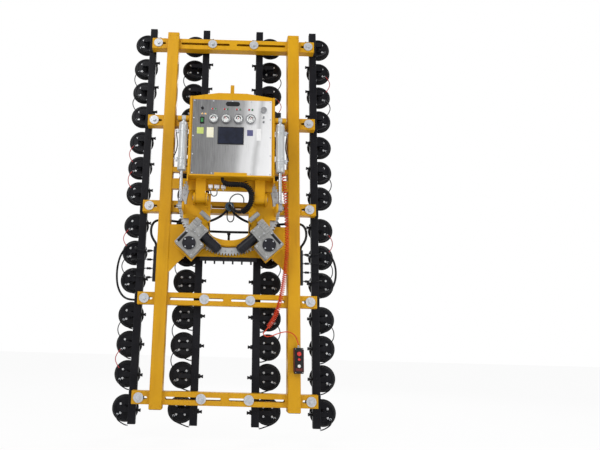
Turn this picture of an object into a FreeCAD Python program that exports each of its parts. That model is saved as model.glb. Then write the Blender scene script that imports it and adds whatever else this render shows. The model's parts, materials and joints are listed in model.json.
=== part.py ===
import FreeCAD, Part
import math
import operator
import os

import Sketcher
from FreeCAD import Placement, Rotation, Vector

# A vacuum lifter for glass panels: a tall frame of suction cups on a slewing ring, carried by a tilting
# carrier that hangs from a yoke with a control cabinet.  The origin is the centre of the lifting eye,
# +Z is up, +X is the right as seen by the operator and +Y points back, to the cups.

# Driving dimensions in millimetres, degrees and counts.  Heights are measured from the centre of the
# slewing ring and depths from the front faces of the columns.
SIZES = {
    # lifting eye
    "eye_height": 1320,
    "eye_reach": 66,
    "eye_radius": 25,
    "lug_thickness": 40,
    "lug_width": 100,
    "lug_head_radius": 52,
    # columns
    "column_spacing": 1380,
    "column_width": 130,
    "column_depth": 150,
    "column_wall": 8,
    "column_corner": 12,
    "column_above": 2055,
    "column_below": 2085,
    # cross members
    "cross_height": 130,
    "cross_depth": 100,
    "cross_wall": 8,
    "cross_corner": 8,
    "cross_reach": 935,
    "top_bay": 955,
    "lower_bay": 990,
    "slot_height": 28,
    "slot_bridge": 80,
    "slot_inset": 24,
    # cup rails and their clamps
    "outer_rail_spacing": 1880,
    "inner_rail_spacing": 628,
    "rail_width": 80,
    "rail_depth": 60,
    "rail_wall": 5,
    "rail_corner": 7,
    "rail_above": 245,
    "rail_below": 270,
    "bracket_thickness": 12,
    "bracket_height": 110,
    "bracket_overhang": 45,
    "clamp_inset": 75,
    "clamp_bolt_radius": 12,
    "clamp_hole_play": 0.5,
    "clamp_washer_radius": 50,
    "clamp_washer_thickness": 12,
    "clamp_head_radius": 20,
    "clamp_head_height": 16,
    "clamp_nut_height": 20,
    # suction cups
    "cup_radius": 140,
    "cup_offset": 95,
    "inner_cup_offset": 140,
    "cup_pitch": 308,
    "top_cup_rise": 138,
    "bottom_cup_drop": 138,
    "top_bay_drop": 11,
    "bay_rise": 22,
    "arm_height": 44,
    "arm_depth": 42,
    "arm_tail": 55,
    "arm_overrun": 32,
    "stem_radius": 22,
    "stem_length": 46,
    "cup_plate_radius": 114,
    "cup_plate_thickness": 16,
    "lip_height": 24,
    "lip_root_radius": 120,
    "dish_depth": 12,
    "dish_radius": 131,
    "dish_floor_radius": 112,
    "knob_radius": 13,
    "knob_length": 34,
    "knob_cap_radius": 17,
    "knob_cap_length": 12,
    "fitting_radius": 9,
    "fitting_length": 14,
    "cup_hose_radius": 6,
    # slewing ring and pinions
    "tooth_module": 10,
    "ring_teeth": 106,
    "pinion_teeth": 15,
    "pressure_angle": 20,
    "ring_addendum": 9,
    "pinion_addendum": 10,
    "dedendum": 12.5,
    "backlash": 1.2,
    "ring_width": 60,
    "pinion_width": 50,
    "pinion_inset": 4,
    "pinion_shaft_radius": 25,
    "race_radius": 456,
    "race_gap": 6,
    "ball_radius": 12,
    "ball_play": 0.3,
    "ball_count": 36,
    "inner_ring_bore": 392,
    "inner_ring_front": 70,
    "inner_ring_back": 8,
    # mounting of the slewing ring on the columns
    "ring_plate_thickness": 20,
    "ring_plate_top": 210,
    "ring_plate_bottom": 545,
    "ring_plate_opening": 402,
    "ring_plate_shoulder": 452,
    "gusset_knee": 535,
    "gusset_knee_drop": 622,
    "gusset_drop": 715,
    "gusset_toe": 10,
    "ring_beam_bottom": 185,
    "ring_beam_height": 115,
    "ring_beam_depth": 60,
    "ring_tie_bottom": 375,
    "ring_tie_height": 55,
    # tilting carrier
    "carrier_thickness": 25,
    "leg_inner": 200,
    "leg_outer": 425,
    "leg_top": 110,
    "leg_bottom": 340,
    "web_inner_radius": 385,
    "web_outer_radius": 445,
    "rod_tab_top": 10,
    "rod_tab_bottom": 160,
    # slewing drives, one each side
    "drive_angle": 48,
    "wing_length": 250,
    "wing_outer": 108,
    "wing_inner": 235,
    "gearbox_length": 240,
    "gearbox_breadth": 184,
    "gearbox_depth": 140,
    "gearbox_corner": 10,
    "cover_radius": 68,
    "cover_height": 15,
    "worm_box_back": 62,
    "worm_box_front": 48,
    "worm_box_breadth": 140,
    "worm_box_depth": 110,
    "motor_radius": 52,
    "motor_length": 200,
    "motor_cap_radius": 44,
    "motor_cap_length": 14,
    "stay_back": 130,
    "stay_front": 68,
    "stay_inner": 250,
    "stay_depth": 118,
    "sensor_radius": 25,
    "sensor_length": 120,
    "sensor_height": 160,
    "sensor_spread": 500,
    "sensor_stand": 120,
    # tilt hinge
    "tilt_reach": 170,
    "tilt_height": 40,
    "tilt_pin_radius": 25,
    "tilt_pin_head": 8,
    "hinge_arm_centre": 308,
    "hinge_arm_width": 104,
    "hinge_arm_depth": 90,
    "knuckle_radius": 50,
    "ear_radius": 60,
    "ear_thickness": 18,
    "hinge_gap": 3,
    "running_play": 0.05,
    # tilt actuators
    "actuator_spread": 57,
    "trunnion_reach": 270,
    "trunnion_height": 880,
    "rod_pin_reach": 300,
    "rod_pin_drop": 80,
    "barrel_radius": 45,
    "barrel_start": 62,
    "barrel_length": 520,
    "barrel_floor": 15,
    "barrel_neck_radius": 18,
    "barrel_eye_radius": 32,
    "rod_radius": 17.5,
    "rod_overlap": 236,
    "rod_eye_radius": 38,
    "eye_width": 40,
    "actuator_pin_radius": 15,
    "actuator_pin_head": 8,
    "rod_lug_thickness": 20,
    "rod_lug_radius": 45,
    "rod_lug_gap": 1,
    "rod_lug_height": 76,
    # yoke
    "cabinet_half_width": 438,
    "side_plate_thickness": 12,
    "cabinet_front": 310,
    "cabinet_back": 120,
    "cabinet_bottom": 238,
    "cabinet_shoulder": 1115,
    "cabinet_crown": 1160,
    "crown_half_width": 150,
    "side_plate_bottom": 185,
    "side_plate_back": 30,
    "brace_height": 170,
    "top_beam_back": 12,
    "top_beam_height": 100,
    "lower_beam_height": 110,
    "lower_beam_front": 165,
    "lower_beam_back": 130,
    "boss_radius": 30,
    "collar_radius": 26,
    "collar_length": 45,
    # cabinet and control panel
    "cabinet_wall": 4,
    "panel_flange": 38,
    "panel_half_width": 415,
    "panel_bottom": 254,
    "panel_top": 1080,
    "panel_thickness": 3,
    "gauge_radius": 50,
    "gauge_height": 866,
    "gauge_pitch": 129,
    "gauge_depth": 24,
    "gauge_rim": 7,
    "dial_recess": 6,
    "lamp_radius": 9,
    "lamp_depth": 10,
    "lamp_height": 974,
    "lamp_gap": 34,
    "left_column_x": 314,
    "right_column_x": 330,
    "key_radius": 16,
    "key_depth": 14,
    "key_blade": 22,
    "key_height": 976,
    "amber_height": 916,
    "rocker_height": 845,
    "rocker_width": 26,
    "rocker_length": 48,
    "rocker_depth": 18,
    "rocker_side_play": 0.3,
    "rocker_end_play": 4,
    "rocker_pivot": 2.5,
    "bezel_rim": 8,
    "bezel_depth": 9,
    "meter_radius": 32,
    "meter_depth": 16,
    "toggle_radius": 8,
    "toggle_depth": 18,
    "toggle_pitch": 50,
    "battery_length": 330,
    "battery_depth": 150,
    "battery_height": 220,
    "pump_radius": 70,
    "pump_length": 260,
    "pump_foot": 24,
    # vacuum lines on the frame
    "manifold_thickness": 40,
    "manifold_depth": 60,
    "manifold_inset": 75,
    "manifold_top": 440,
    "manifold_bottom": 812,
    "outlet_pitch": 95,
    "outlet_hose_radius": 6,
    "check_valve_radius": 13,
    "check_valve_length": 46,
    "bar_half_length": 300,
    "bar_height": 36,
    "bar_depth": 40,
    "bar_drop": 585,
    "bar_outlets": 6,
    "bar_outlet_pitch": 96,
    "bar_outlet_length": 32,
    "union_radius": 46,
    "union_hub_radius": 30,
    "union_front": 20,
    "union_nose": 45,
    "line_radius": 13,
    "tee_radius": 10,
    "supply_radius": 17,
    "supply_reach": 262,
    "branch_radius": 6,
    "loop_radius": 11,
    # pendant control and its curly cord
    "pendant_x": 725,
    "pendant_width": 92,
    "pendant_top": 1455,
    "pendant_height": 250,
    "pendant_back": 8,
    "pendant_depth": 70,
    "pendant_corner": 12,
    "relief_radius": 13,
    "relief_length": 26,
    "button_hole_depth": 26,
    "button_stem": 20,
    "button_travel": 4,
    "stop_radius": 17,
    "stop_cap_radius": 21,
    "stop_drop": 58,
    "hold_radius": 13,
    "hold_drop": 112,
    "release_radius": 15,
    "release_drop": 176,
    "button_proud": 12,
    "cord_radius": 5,
    "curl_radius": 20,
    "curl_count": 88,
    "gland_x": 50,
    "gland_reach": 195,
    "gland_height": 905,
    "gland_length": 90,
    "gland_radius": 17,
    "gland_base": 46,
}

doc = FreeCAD.newDocument("panel_lifter")
sheet = doc.addObject("Spreadsheet::Sheet", "Sizes")
for row, (alias, number) in enumerate(SIZES.items(), start=1):
    sheet.set(f"A{row}", alias)
    sheet.set(f"B{row}", str(number))
    sheet.setAlias(f"B{row}", alias)
doc.recompute()


class Size:
    """A number together with the sheet formula that gives it."""

    def __init__(self, number, formula):
        self.number = number
        self.formula = formula

    def __float__(self):
        return self.number

    def __add__(self, other):
        return combine(self, "+", other)

    def __radd__(self, other):
        return combine(other, "+", self)

    def __sub__(self, other):
        return combine(self, "-", other)

    def __rsub__(self, other):
        return combine(other, "-", self)

    def __mul__(self, other):
        return combine(self, "*", other)

    def __rmul__(self, other):
        return combine(other, "*", self)

    def __truediv__(self, other):
        return combine(self, "/", other)

    def __neg__(self):
        return Size(-self.number, f"(-1 * {self.formula})")


OPERATIONS = {"+": operator.add, "-": operator.sub, "*": operator.mul, "/": operator.truediv}


def sized(amount):
    """The amount as a Size, whether it comes from the sheet or is a plain number."""
    return amount if isinstance(amount, Size) else Size(float(amount), repr(float(amount)))


def combine(left, sign, right):
    left, right = sized(left), sized(right)
    return Size(OPERATIONS[sign](left.number, right.number), f"({left.formula} {sign} {right.formula})")


def cosine(angle):
    return Size(math.cos(math.radians(angle.number)), f"cos({angle.formula} * 1deg)")


def sine(angle):
    return Size(math.sin(math.radians(angle.number)), f"sin({angle.formula} * 1deg)")


def slope_angle(rise, run):
    """Angle in degrees whose tangent is rise over run."""
    ratio = rise / run
    return Size(math.degrees(math.atan(ratio.number)), f"(atan({ratio.formula}) / 1deg)")


class Sheet:
    """Reads the sheet's cells by their aliases."""

    def __getattr__(self, alias):
        return Size(float(sheet.get(alias)), "Sizes." + alias)


s = Sheet()
X_AXIS, Y_AXIS, Z_AXIS = Vector(1, 0, 0), Vector(0, 1, 0), Vector(0, 0, 1)
SIDES = {"left": -1, "right": 1}
nodes = []


def up(height):
    """Row height of something measured from the slewing ring's centre."""
    return height - s.eye_height


def back(depth):
    """Row depth of something measured from the front faces of the columns."""
    return depth + s.eye_reach


def span(side, inner, outer):
    """Span along X from inner to outer on the given side, low end first."""
    return (inner, outer) if side > 0 else (-outer, -inner)


def around(middle, width):
    return (middle - width / 2, middle + width / 2)


def bind(part, place, amount):
    part.setExpression(place, sized(amount).formula)


def place(part, x, y, z, axis=None, angle=0):
    """Put the part's own origin at a point, turned about an axis."""
    if axis is not None:
        part.Placement = Placement(Vector(), Rotation(axis, float(sized(angle))))
        bind(part, "Placement.Rotation.Angle", angle)
    for letter, amount in (("x", x), ("y", y), ("z", z)):
        bind(part, "Placement.Base." + letter, amount)
    return part


def box(name, x, y, z):
    """Block between low and high ends along each axis."""
    part = doc.addObject("Part::Box", name)
    for prop, (low, high) in (("Length", x), ("Width", y), ("Height", z)):
        bind(part, prop, high - low)
    return place(part, x[0], y[0], z[0])


TURNS = {"x": (Y_AXIS, 90), "y": (X_AXIS, -90), "z": (Z_AXIS, 0)}


def cone(name, axis, ends, low_radius, high_radius, centre):
    """Round bar along an axis, centred on the other two coordinates, perhaps tapered."""
    tapered = high_radius is not low_radius
    part = doc.addObject("Part::Cone" if tapered else "Part::Cylinder", name)
    bind(part, "Height", ends[1] - ends[0])
    if tapered:
        bind(part, "Radius1", low_radius)
        bind(part, "Radius2", high_radius)
    else:
        bind(part, "Radius", low_radius)
    spots = {"x": (ends[0], *centre), "y": (centre[0], ends[0], centre[1]), "z": (*centre, ends[0])}
    turn_axis, angle = TURNS[axis]
    return place(part, *spots[axis], axis=turn_axis, angle=angle)


def bar(name, axis, ends, radius, centre):
    return cone(name, axis, ends, radius, radius, centre)


def hexagon(name, ends, radius, centre):
    """Hexagonal prism along Y."""
    part = doc.addObject("Part::Prism", name)
    part.Polygon = 6
    bind(part, "Circumradius", radius)
    bind(part, "Height", ends[1] - ends[0])
    return place(part, centre[0], ends[0], centre[1], axis=X_AXIS, angle=-90)


def fuse(name, *parts):
    whole = doc.addObject("Part::MultiFuse", name)
    whole.Shapes = list(parts)
    return whole


def cut(name, base, *tools):
    whole = doc.addObject("Part::Cut", name)
    whole.Base = base
    whole.Tool = tools[0] if len(tools) == 1 else fuse(name + "_cutters", *tools)
    return whole


def common(name, first, second):
    whole = doc.addObject("Part::Common", name)
    whole.Base = first
    whole.Tool = second
    return whole


LONG_EDGES = {"z": (1, 3, 5, 7), "y": (2, 4, 6, 8), "x": (9, 10, 11, 12)}


def rounded(name, block, radius, axis):
    """A block with the four edges along one axis rounded."""
    part = doc.addObject("Part::Fillet", name)
    part.Base = block
    doc.recompute()
    part.Edges = [(edge, float(radius), float(radius)) for edge in LONG_EDGES[axis]]
    return part


def mirrored(name, source):
    """The same piece on the other side of the middle plane."""
    part = doc.addObject("Part::Mirroring", name)
    part.Source = source
    part.Normal = X_AXIS
    part.Base = Vector()
    return part


def node(label, *parts):
    """Make one named sub-part from one or several solids."""
    if len(parts) == 1:
        whole = parts[0]
        whole.Label = label
    else:
        whole = doc.addObject("Part::Compound", label)
        whole.Links = list(parts)
    nodes.append(whole)
    return whole


def shaped(label, shape):
    """Make one named sub-part from a shape worked out in code."""
    part = doc.addObject("Part::Feature", label)
    part.Shape = shape
    nodes.append(part)
    return part


def padded(name, plane, corners, start, depth):
    """Plate drawn as a polygon on an origin plane and padded along that plane's positive axis."""
    body = doc.addObject("PartDesign::Body", name)
    sketch = body.newObject("Sketcher::SketchObject", name + "_outline")
    origin_plane = [item for item in body.Origin.OriginFeatures if item.Role == plane][0]
    sketch.AttachmentSupport = [(origin_plane, "")]
    sketch.MapMode = "FlatFace"
    backward = plane == "XZ_Plane"
    bind(sketch, "AttachmentOffset.Base.z", -start if backward else start)
    spots = [Vector(float(across), float(along), 0) for across, along in corners]
    for index, spot in enumerate(spots):
        sketch.addGeometry(Part.LineSegment(spot, spots[(index + 1) % len(spots)]), False)
    for index in range(len(spots)):
        sketch.addConstraint(Sketcher.Constraint("Coincident", index, 2, (index + 1) % len(spots), 1))
    for index, corner in enumerate(corners):
        for kind, amount in zip(("DistanceX", "DistanceY"), corner):
            number = sketch.addConstraint(Sketcher.Constraint(kind, -1, 1, index, 1, float(amount)))
            bind(sketch, f"Constraints[{number}]", amount)
    pad = body.newObject("PartDesign::Pad", name + "_pad")
    pad.Profile = sketch
    pad.Reversed = backward
    bind(pad, "Length", depth)
    return body


def copies(parts, offsets):
    """Solids of the parts, repeated at each offset."""
    doc.recompute()
    found = []
    for offset in offsets:
        for part in parts:
            solid = part.Shape.copy()
            solid.translate(offset)
            found.append(solid)
    return found


def rounded_path(points):
    """Straight runs joined by arcs as large as the runs allow, and the arcs' radii."""
    edges, radii = [], []
    start = points[0]
    for before, corner, after in zip(points, points[1:], points[2:]):
        inward, outward = (before - corner), (after - corner)
        half_turn = (math.pi - inward.getAngle(outward)) / 2
        reach = 0.45 * min(inward.Length, outward.Length)
        radius = reach / math.tan(half_turn)
        first = corner + inward.normalize() * reach
        last = corner + outward.normalize() * reach
        bisector = (inward + outward).normalize()
        middle = corner + bisector * (radius / math.cos(half_turn) - radius)
        edges.append(Part.LineSegment(start, first).toShape())
        edges.append(Part.Arc(first, middle, last).toShape())
        radii.append(radius)
        start = last
    edges.append(Part.LineSegment(start, points[-1]).toShape())
    return Part.Wire(edges), radii


def tube_along(path, radius):
    """Solid round tube swept along a path of tangent lines and arcs."""
    edge = path.OrderedEdges[0]
    start, heading = edge.valueAt(edge.FirstParameter), edge.tangentAt(edge.FirstParameter)
    ring = Part.Wire(Part.makeCircle(radius, start, heading))
    return path.makePipeShell([ring], True, False)


def hose(points, radius, name):
    path, radii = rounded_path(points)
    solid = tube_along(path, radius)
    share = solid.Volume / (math.pi * radius ** 2 * path.Length)
    print(f"{name}: length {path.Length:.0f} mm, volume share {share:.4f}, least radius {min(radii):.0f} mm")
    return solid


def spot(x, depth, height):
    """Point given across, behind the column faces and above the ring's centre."""
    return Vector(float(x), float(back(sized(depth))), float(up(sized(height))))


# Frame: columns, cross members and the mounting of the slewing ring

column_inner = (s.column_spacing - s.column_width) / 2
column_outer = (s.column_spacing + s.column_width) / 2
cross_front = s.column_depth - s.cross_depth
CROSS_HEIGHTS = [
    s.top_bay + s.lower_bay,
    s.lower_bay,
    sized(0),
    -s.lower_bay,
    -2 * s.lower_bay,
]


def build_columns():
    for label, side in SIDES.items():
        x = span(side, column_inner, column_outer)
        heights = (up(-s.column_below), up(s.column_above))
        block = box(f"column_{label}_block", x, (back(0), back(s.column_depth)), heights)
        skin = rounded(f"column_{label}_skin", block, s.column_corner, "z")
        hollow = box(
            f"column_{label}_hollow",
            (x[0] + s.column_wall, x[1] - s.column_wall),
            (back(s.column_wall), back(s.column_depth - s.column_wall)),
            (heights[0] - s.column_wall, heights[1] - s.column_wall),
        )
        node(f"column_{label}", cut(f"column_{label}_tube", skin, hollow))


def cross_tube(name, x, height, hollow_x, slots):
    """One length of cross member with its clamp slots cut through front and back."""
    y = (back(cross_front), back(s.column_depth))
    z = around(up(height), s.cross_height)
    skin = rounded(name + "_skin", box(name + "_block", x, y, z), s.cross_corner, "x")
    hollow = box(
        name + "_hollow",
        hollow_x,
        (y[0] + s.cross_wall, y[1] - s.cross_wall),
        (z[0] + s.cross_wall, z[1] - s.cross_wall),
    )
    cutters = [hollow]
    for number, ends in enumerate(slots):
        through = (y[0] - s.cross_wall, y[1] + s.cross_wall)
        slot_z = around(up(height), s.slot_height)
        slot = box(f"{name}_slot_{number}", ends, through, slot_z)
        cutters.append(rounded(f"{name}_slot_{number}_round", slot, s.slot_height / 2 - 0.01, "y"))
    return cut(name, skin, *cutters)


def build_cross_members():
    middles, stubs = [], []
    for number, height in enumerate(CROSS_HEIGHTS, start=1):
        slot_start, slot_stop = s.slot_bridge / 2, column_inner - s.slot_inset
        middles.append(cross_tube(
            f"cross_{number}_middle",
            (-column_inner, column_inner),
            height,
            (-column_inner - s.cross_wall, column_inner + s.cross_wall),
            [(-slot_stop, -slot_start), (slot_start, slot_stop)],
        ))
        stub = cross_tube(
            f"cross_{number}_stub",
            (column_outer, s.cross_reach),
            height,
            (column_outer - s.cross_wall, s.cross_reach - s.cross_wall),
            [(column_outer + s.slot_inset, s.cross_reach - s.slot_inset)],
        )
        stubs += [stub, mirrored(f"cross_{number}_stub_left", stub)]
    node("cross_members", *middles)
    node("cross_stubs", *stubs)


def build_ring_mount():
    """Lower plate with gussets and two beams, all with their front faces level with the columns."""
    right_edge = [
        (s.ring_plate_shoulder, up(-s.ring_plate_bottom)),
        (s.gusset_knee, up(-s.gusset_knee_drop)),
        (column_inner - s.gusset_toe, up(-s.gusset_drop)),
        (column_inner, up(-s.gusset_drop)),
        (column_inner, up(-s.ring_plate_top)),
    ]
    left_edge = [(-across, along) for across, along in reversed(right_edge)]
    sheet_metal = padded(
        "ring_plate_sheet", "XZ_Plane", right_edge + left_edge, back(0), s.ring_plate_thickness)
    opening = bar(
        "ring_plate_opening_cutter", "y",
        (back(-s.ring_plate_thickness), back(2 * s.ring_plate_thickness)),
        s.ring_plate_opening, (sized(0), up(0)))
    plate = cut("ring_plate", sheet_metal, opening)
    x = (-column_inner, column_inner)
    y = (back(0), back(s.ring_beam_depth))
    beam = box("ring_beam", x, y, (up(s.ring_beam_bottom), up(s.ring_beam_bottom + s.ring_beam_height)))
    tie = box("ring_tie", x, y, (up(s.ring_tie_bottom), up(s.ring_tie_bottom + s.ring_tie_height)))
    node("ring_mount", plate, beam, tie)


# Slewing ring and pinions

ring_pitch_radius = s.tooth_module * s.ring_teeth / 2
pinion_pitch_radius = s.tooth_module * s.pinion_teeth / 2
drive_distance = ring_pitch_radius + pinion_pitch_radius
ring_middle = -s.ring_width / 2


def involute(radius, base_radius):
    return math.sqrt((radius / base_radius) ** 2 - 1) - math.acos(base_radius / radius)


def gear_outline(teeth, addendum):
    """Closed outline of an external spur gear in the XZ plane, a tooth's middle on the X axis."""
    pitch_radius = float(s.tooth_module) * teeth / 2
    base_radius = pitch_radius * math.cos(math.radians(float(s.pressure_angle)))
    tip_radius, root_radius = pitch_radius + addendum, pitch_radius - float(s.dedendum)
    foot_radius = max(base_radius, root_radius)
    thickness = math.pi * float(s.tooth_module) / 2 - float(s.backlash) / 2
    half_angle = thickness / 2 / pitch_radius + involute(pitch_radius, base_radius)

    def on_flank(radius, middle, sign):
        angle = middle + sign * (half_angle - involute(max(radius, base_radius), base_radius))
        return Vector(radius * math.cos(angle), 0, radius * math.sin(angle))

    def arc_between(first, last, radius):
        middle = (first + last).normalize() * radius
        return Part.Arc(first, middle, last).toShape()

    edges = []
    radii = (foot_radius, (foot_radius + tip_radius) / 2, tip_radius)
    step = 2 * math.pi / teeth
    for number in range(teeth):
        middle = number * step
        rising = [on_flank(radius, middle, -1) for radius in radii]
        falling = [on_flank(radius, middle, 1) for radius in reversed(radii)]
        root_before, root_after = on_flank(root_radius, middle, -1), on_flank(root_radius, middle, 1)
        next_root = on_flank(root_radius, middle + step, -1)
        if root_radius < foot_radius:
            edges.append(Part.LineSegment(root_before, rising[0]).toShape())
        edges.append(Part.Arc(*rising).toShape())
        edges.append(arc_between(rising[-1], falling[0], tip_radius))
        edges.append(Part.Arc(*falling).toShape())
        if root_radius < foot_radius:
            edges.append(Part.LineSegment(falling[-1], root_after).toShape())
        edges.append(arc_between(root_after, next_root, root_radius))
    return Part.Wire(edges)


def build_slewing_ring():
    centre = spot(0, -s.ring_width, 0)
    disc = Part.Face(gear_outline(int(float(s.ring_teeth)), float(s.ring_addendum)))
    toothed = disc.extrude(Y_AXIS * float(s.ring_width))
    inside = float(s.race_radius + s.race_gap / 2)
    toothed = toothed.cut(Part.makeCylinder(inside, float(s.ring_width), Vector(), Y_AXIS))
    groove = Part.makeTorus(
        float(s.race_radius), float(s.ball_radius + s.ball_play), Y_AXIS * float(s.ring_width / 2), Y_AXIS)
    shaped("slew_outer_ring", toothed.cut(groove)).Placement = Placement(centre, Rotation())

    y = (back(-s.inner_ring_front), back(-s.inner_ring_back))
    blank = bar("slew_inner_blank", "y", y, s.race_radius - s.race_gap / 2, (sized(0), up(0)))
    wider = (y[0] - s.race_gap, y[1] + s.race_gap)
    bore = bar("slew_inner_bore", "y", wider, s.inner_ring_bore, (sized(0), up(0)))
    race = doc.addObject("Part::Torus", "slew_inner_race")
    bind(race, "Radius1", s.race_radius)
    bind(race, "Radius2", s.ball_radius + s.ball_play)
    place(race, 0, back(ring_middle), up(0), axis=X_AXIS, angle=-90)
    node("slew_inner_ring", cut("slew_inner_body", blank, bore, race))

    count = int(float(s.ball_count))
    ball = doc.addObject("Part::Sphere", "slew_ball")
    bind(ball, "Radius", s.ball_radius)
    circle = [2 * math.pi * number / count for number in range(count)]
    radius = float(s.race_radius)
    spots = [spot(radius * math.cos(angle), ring_middle, radius * math.sin(angle)) for angle in circle]
    shaped("slew_balls", Part.makeCompound(copies([ball], spots)))


def build_pinions():
    """Each pinion with its shaft, turned so that its gap meets the ring's tooth."""
    teeth = int(float(s.pinion_teeth))
    ratio = float(s.ring_teeth / s.pinion_teeth)
    ring_step, pinion_step = 360 / float(s.ring_teeth), 360 / float(s.pinion_teeth)
    width = float(s.pinion_width)
    disc = Part.Face(gear_outline(teeth, float(s.pinion_addendum)))
    front = s.pinion_inset - s.ring_width
    shaft_length = float(s.gearbox_depth / 2 + s.carrier_thickness + s.inner_ring_front + front)
    for label, side in SIDES.items():
        contact = 180 + float(s.drive_angle) if side < 0 else 360 - float(s.drive_angle)
        ring_offset = round(contact / ring_step) * ring_step - contact
        turn = contact + 180 - ratio * ring_offset - pinion_step / 2
        gear = disc.extrude(Y_AXIS * width)
        gear.rotate(Vector(), Y_AXIS, -turn)
        shaft = Part.makeCylinder(float(s.pinion_shaft_radius), shaft_length, Vector(), -Y_AXIS)
        part = shaped(f"pinion_{label}", gear.fuse(shaft))
        reach = drive_distance * cosine(s.drive_angle) * side
        part.Placement = Placement(spot(reach, front, -drive_distance * sine(s.drive_angle)), Rotation())


# Tilting carrier with the slewing drives

plate_back = -s.inner_ring_front
plate_front = plate_back - s.carrier_thickness
plate_depth = (back(plate_front), back(plate_back))


def in_drive(along, inward):
    """X and Z of a point of the left drive, along its motor and in towards the ring's centre."""
    lean, rise = cosine(s.drive_angle), sine(s.drive_angle)
    x = (inward - drive_distance) * lean + along * rise
    z = (inward - drive_distance) * rise - along * lean
    return x, up(z)


def drive_box(name, along, depth, inward):
    """Block of the left drive, square to its motor."""
    part = doc.addObject("Part::Box", name)
    for prop, (low, high) in (("Length", along), ("Width", depth), ("Height", inward)):
        bind(part, prop, high - low)
    x, z = in_drive(along[0], inward[0])
    return place(part, x, back(depth[0]), z, axis=Y_AXIS, angle=90 - s.drive_angle)


def drive_bar(name, ends, radius, depth, inward):
    """Round bar of the left drive, parallel to its motor."""
    part = doc.addObject("Part::Cylinder", name)
    bind(part, "Radius", radius)
    bind(part, "Height", ends[1] - ends[0])
    x, z = in_drive(ends[0], inward)
    return place(part, x, back(depth), z, axis=Y_AXIS, angle=180 - s.drive_angle)


def drive_disc(name, ends, radius):
    """Round bar along Y on the left drive's output axis."""
    x, z = in_drive(sized(0), sized(0))
    return bar(name, "y", (back(ends[0]), back(ends[1])), radius, (x, z))


def both(name, part):
    return [part, mirrored(name + "_right", part)]


def build_carrier_plate():
    rod_lug_outer = actuator_x - s.eye_width / 2 - s.rod_lug_gap
    leg = box("carrier_leg", (-s.leg_outer, -s.leg_inner), plate_depth, (up(-s.leg_bottom), up(s.leg_top)))
    tab = box(
        "carrier_rod_tab", (-rod_lug_outer, -s.leg_outer + s.rod_lug_gap), plate_depth,
        (up(-s.rod_tab_bottom), up(-s.rod_tab_top)))
    half = s.wing_length / 2
    wing = drive_box("carrier_wing", (-half, half), (plate_front, plate_back), (-s.wing_outer, s.wing_inner))
    stay = drive_box(
        "carrier_stay", (-s.stay_back, -s.stay_front), (plate_front - s.stay_depth, plate_front),
        (s.gearbox_breadth / 2, s.stay_inner))
    centre = (sized(0), up(0))
    disc = bar("carrier_web_disc", "y", plate_depth, s.web_outer_radius, centre)
    deeper = (plate_depth[0] - s.carrier_thickness, plate_depth[1] + s.carrier_thickness)
    bore = bar("carrier_web_bore", "y", deeper, s.web_inner_radius, centre)
    band = cut("carrier_web_band", disc, bore)
    lower = box(
        "carrier_web_limit", (-s.leg_outer, s.leg_outer), deeper,
        (up(-s.web_outer_radius - s.race_gap), up(-s.leg_bottom + s.leg_inner / 2)))
    web = common("carrier_web", band, lower)
    left = [leg, tab, wing, stay]
    right = [mirrored(f"{part.Name}_right", part) for part in left]
    blank = fuse("carrier_blank", web, *left, *right)
    hole = drive_disc(
        "carrier_shaft_hole", (plate_front - s.carrier_thickness, plate_back + s.carrier_thickness),
        s.pinion_shaft_radius + s.ball_play)
    node("carrier_plate", cut("carrier_holed", blank, *both("carrier_shaft_hole", hole)))


def build_hinge_brackets():
    """Ears for the tilt pins and lugs for the actuator rods, on the front of the carrier plate."""
    pieces = []
    pin_centre = (back(-s.tilt_reach), up(s.tilt_height))
    arm_half = s.hinge_arm_width / 2 + s.hinge_gap
    starts = {
        "inner": s.hinge_arm_centre - arm_half - s.ear_thickness,
        "outer": s.hinge_arm_centre + arm_half,
    }
    for label, start in starts.items():
        x = (start, start + s.ear_thickness)
        z = around(up(s.tilt_height), 2 * s.ear_radius)
        block = box(f"ear_{label}_block", x, (back(-s.tilt_reach), back(plate_front)), z)
        head = bar(f"ear_{label}_head", "x", x, s.ear_radius, pin_centre)
        wider = (x[0] - s.hinge_gap, x[1] + s.hinge_gap)
        hole = bar(f"ear_{label}_hole", "x", wider, s.tilt_pin_radius + s.running_play, pin_centre)
        ear = cut(f"ear_{label}", fuse(f"ear_{label}_blank", block, head), hole)
        pieces += both(f"ear_{label}", ear)
    outer = actuator_x - s.eye_width / 2 - s.rod_lug_gap
    x = (outer - s.rod_lug_thickness, outer)
    rod_centre = (back(-s.rod_pin_reach), up(-s.rod_pin_drop))
    arm_z = around(up(-s.rod_pin_drop), s.rod_lug_height)
    arm = box("rod_lug_arm", x, (back(-s.rod_pin_reach), back(plate_front)), arm_z)
    head = bar("rod_lug_head", "x", x, s.rod_lug_radius, rod_centre)
    pieces += both("rod_lug", fuse("rod_lug", arm, head))
    node("hinge_brackets", *pieces)

    inner = s.hinge_arm_centre - arm_half - s.ear_thickness - s.tilt_pin_head
    stop = s.hinge_arm_centre + arm_half + s.ear_thickness + s.tilt_pin_head
    pin = bar("tilt_pin", "x", (inner, stop), s.tilt_pin_radius, pin_centre)
    node("tilt_pins", *both("tilt_pin", pin))


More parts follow.
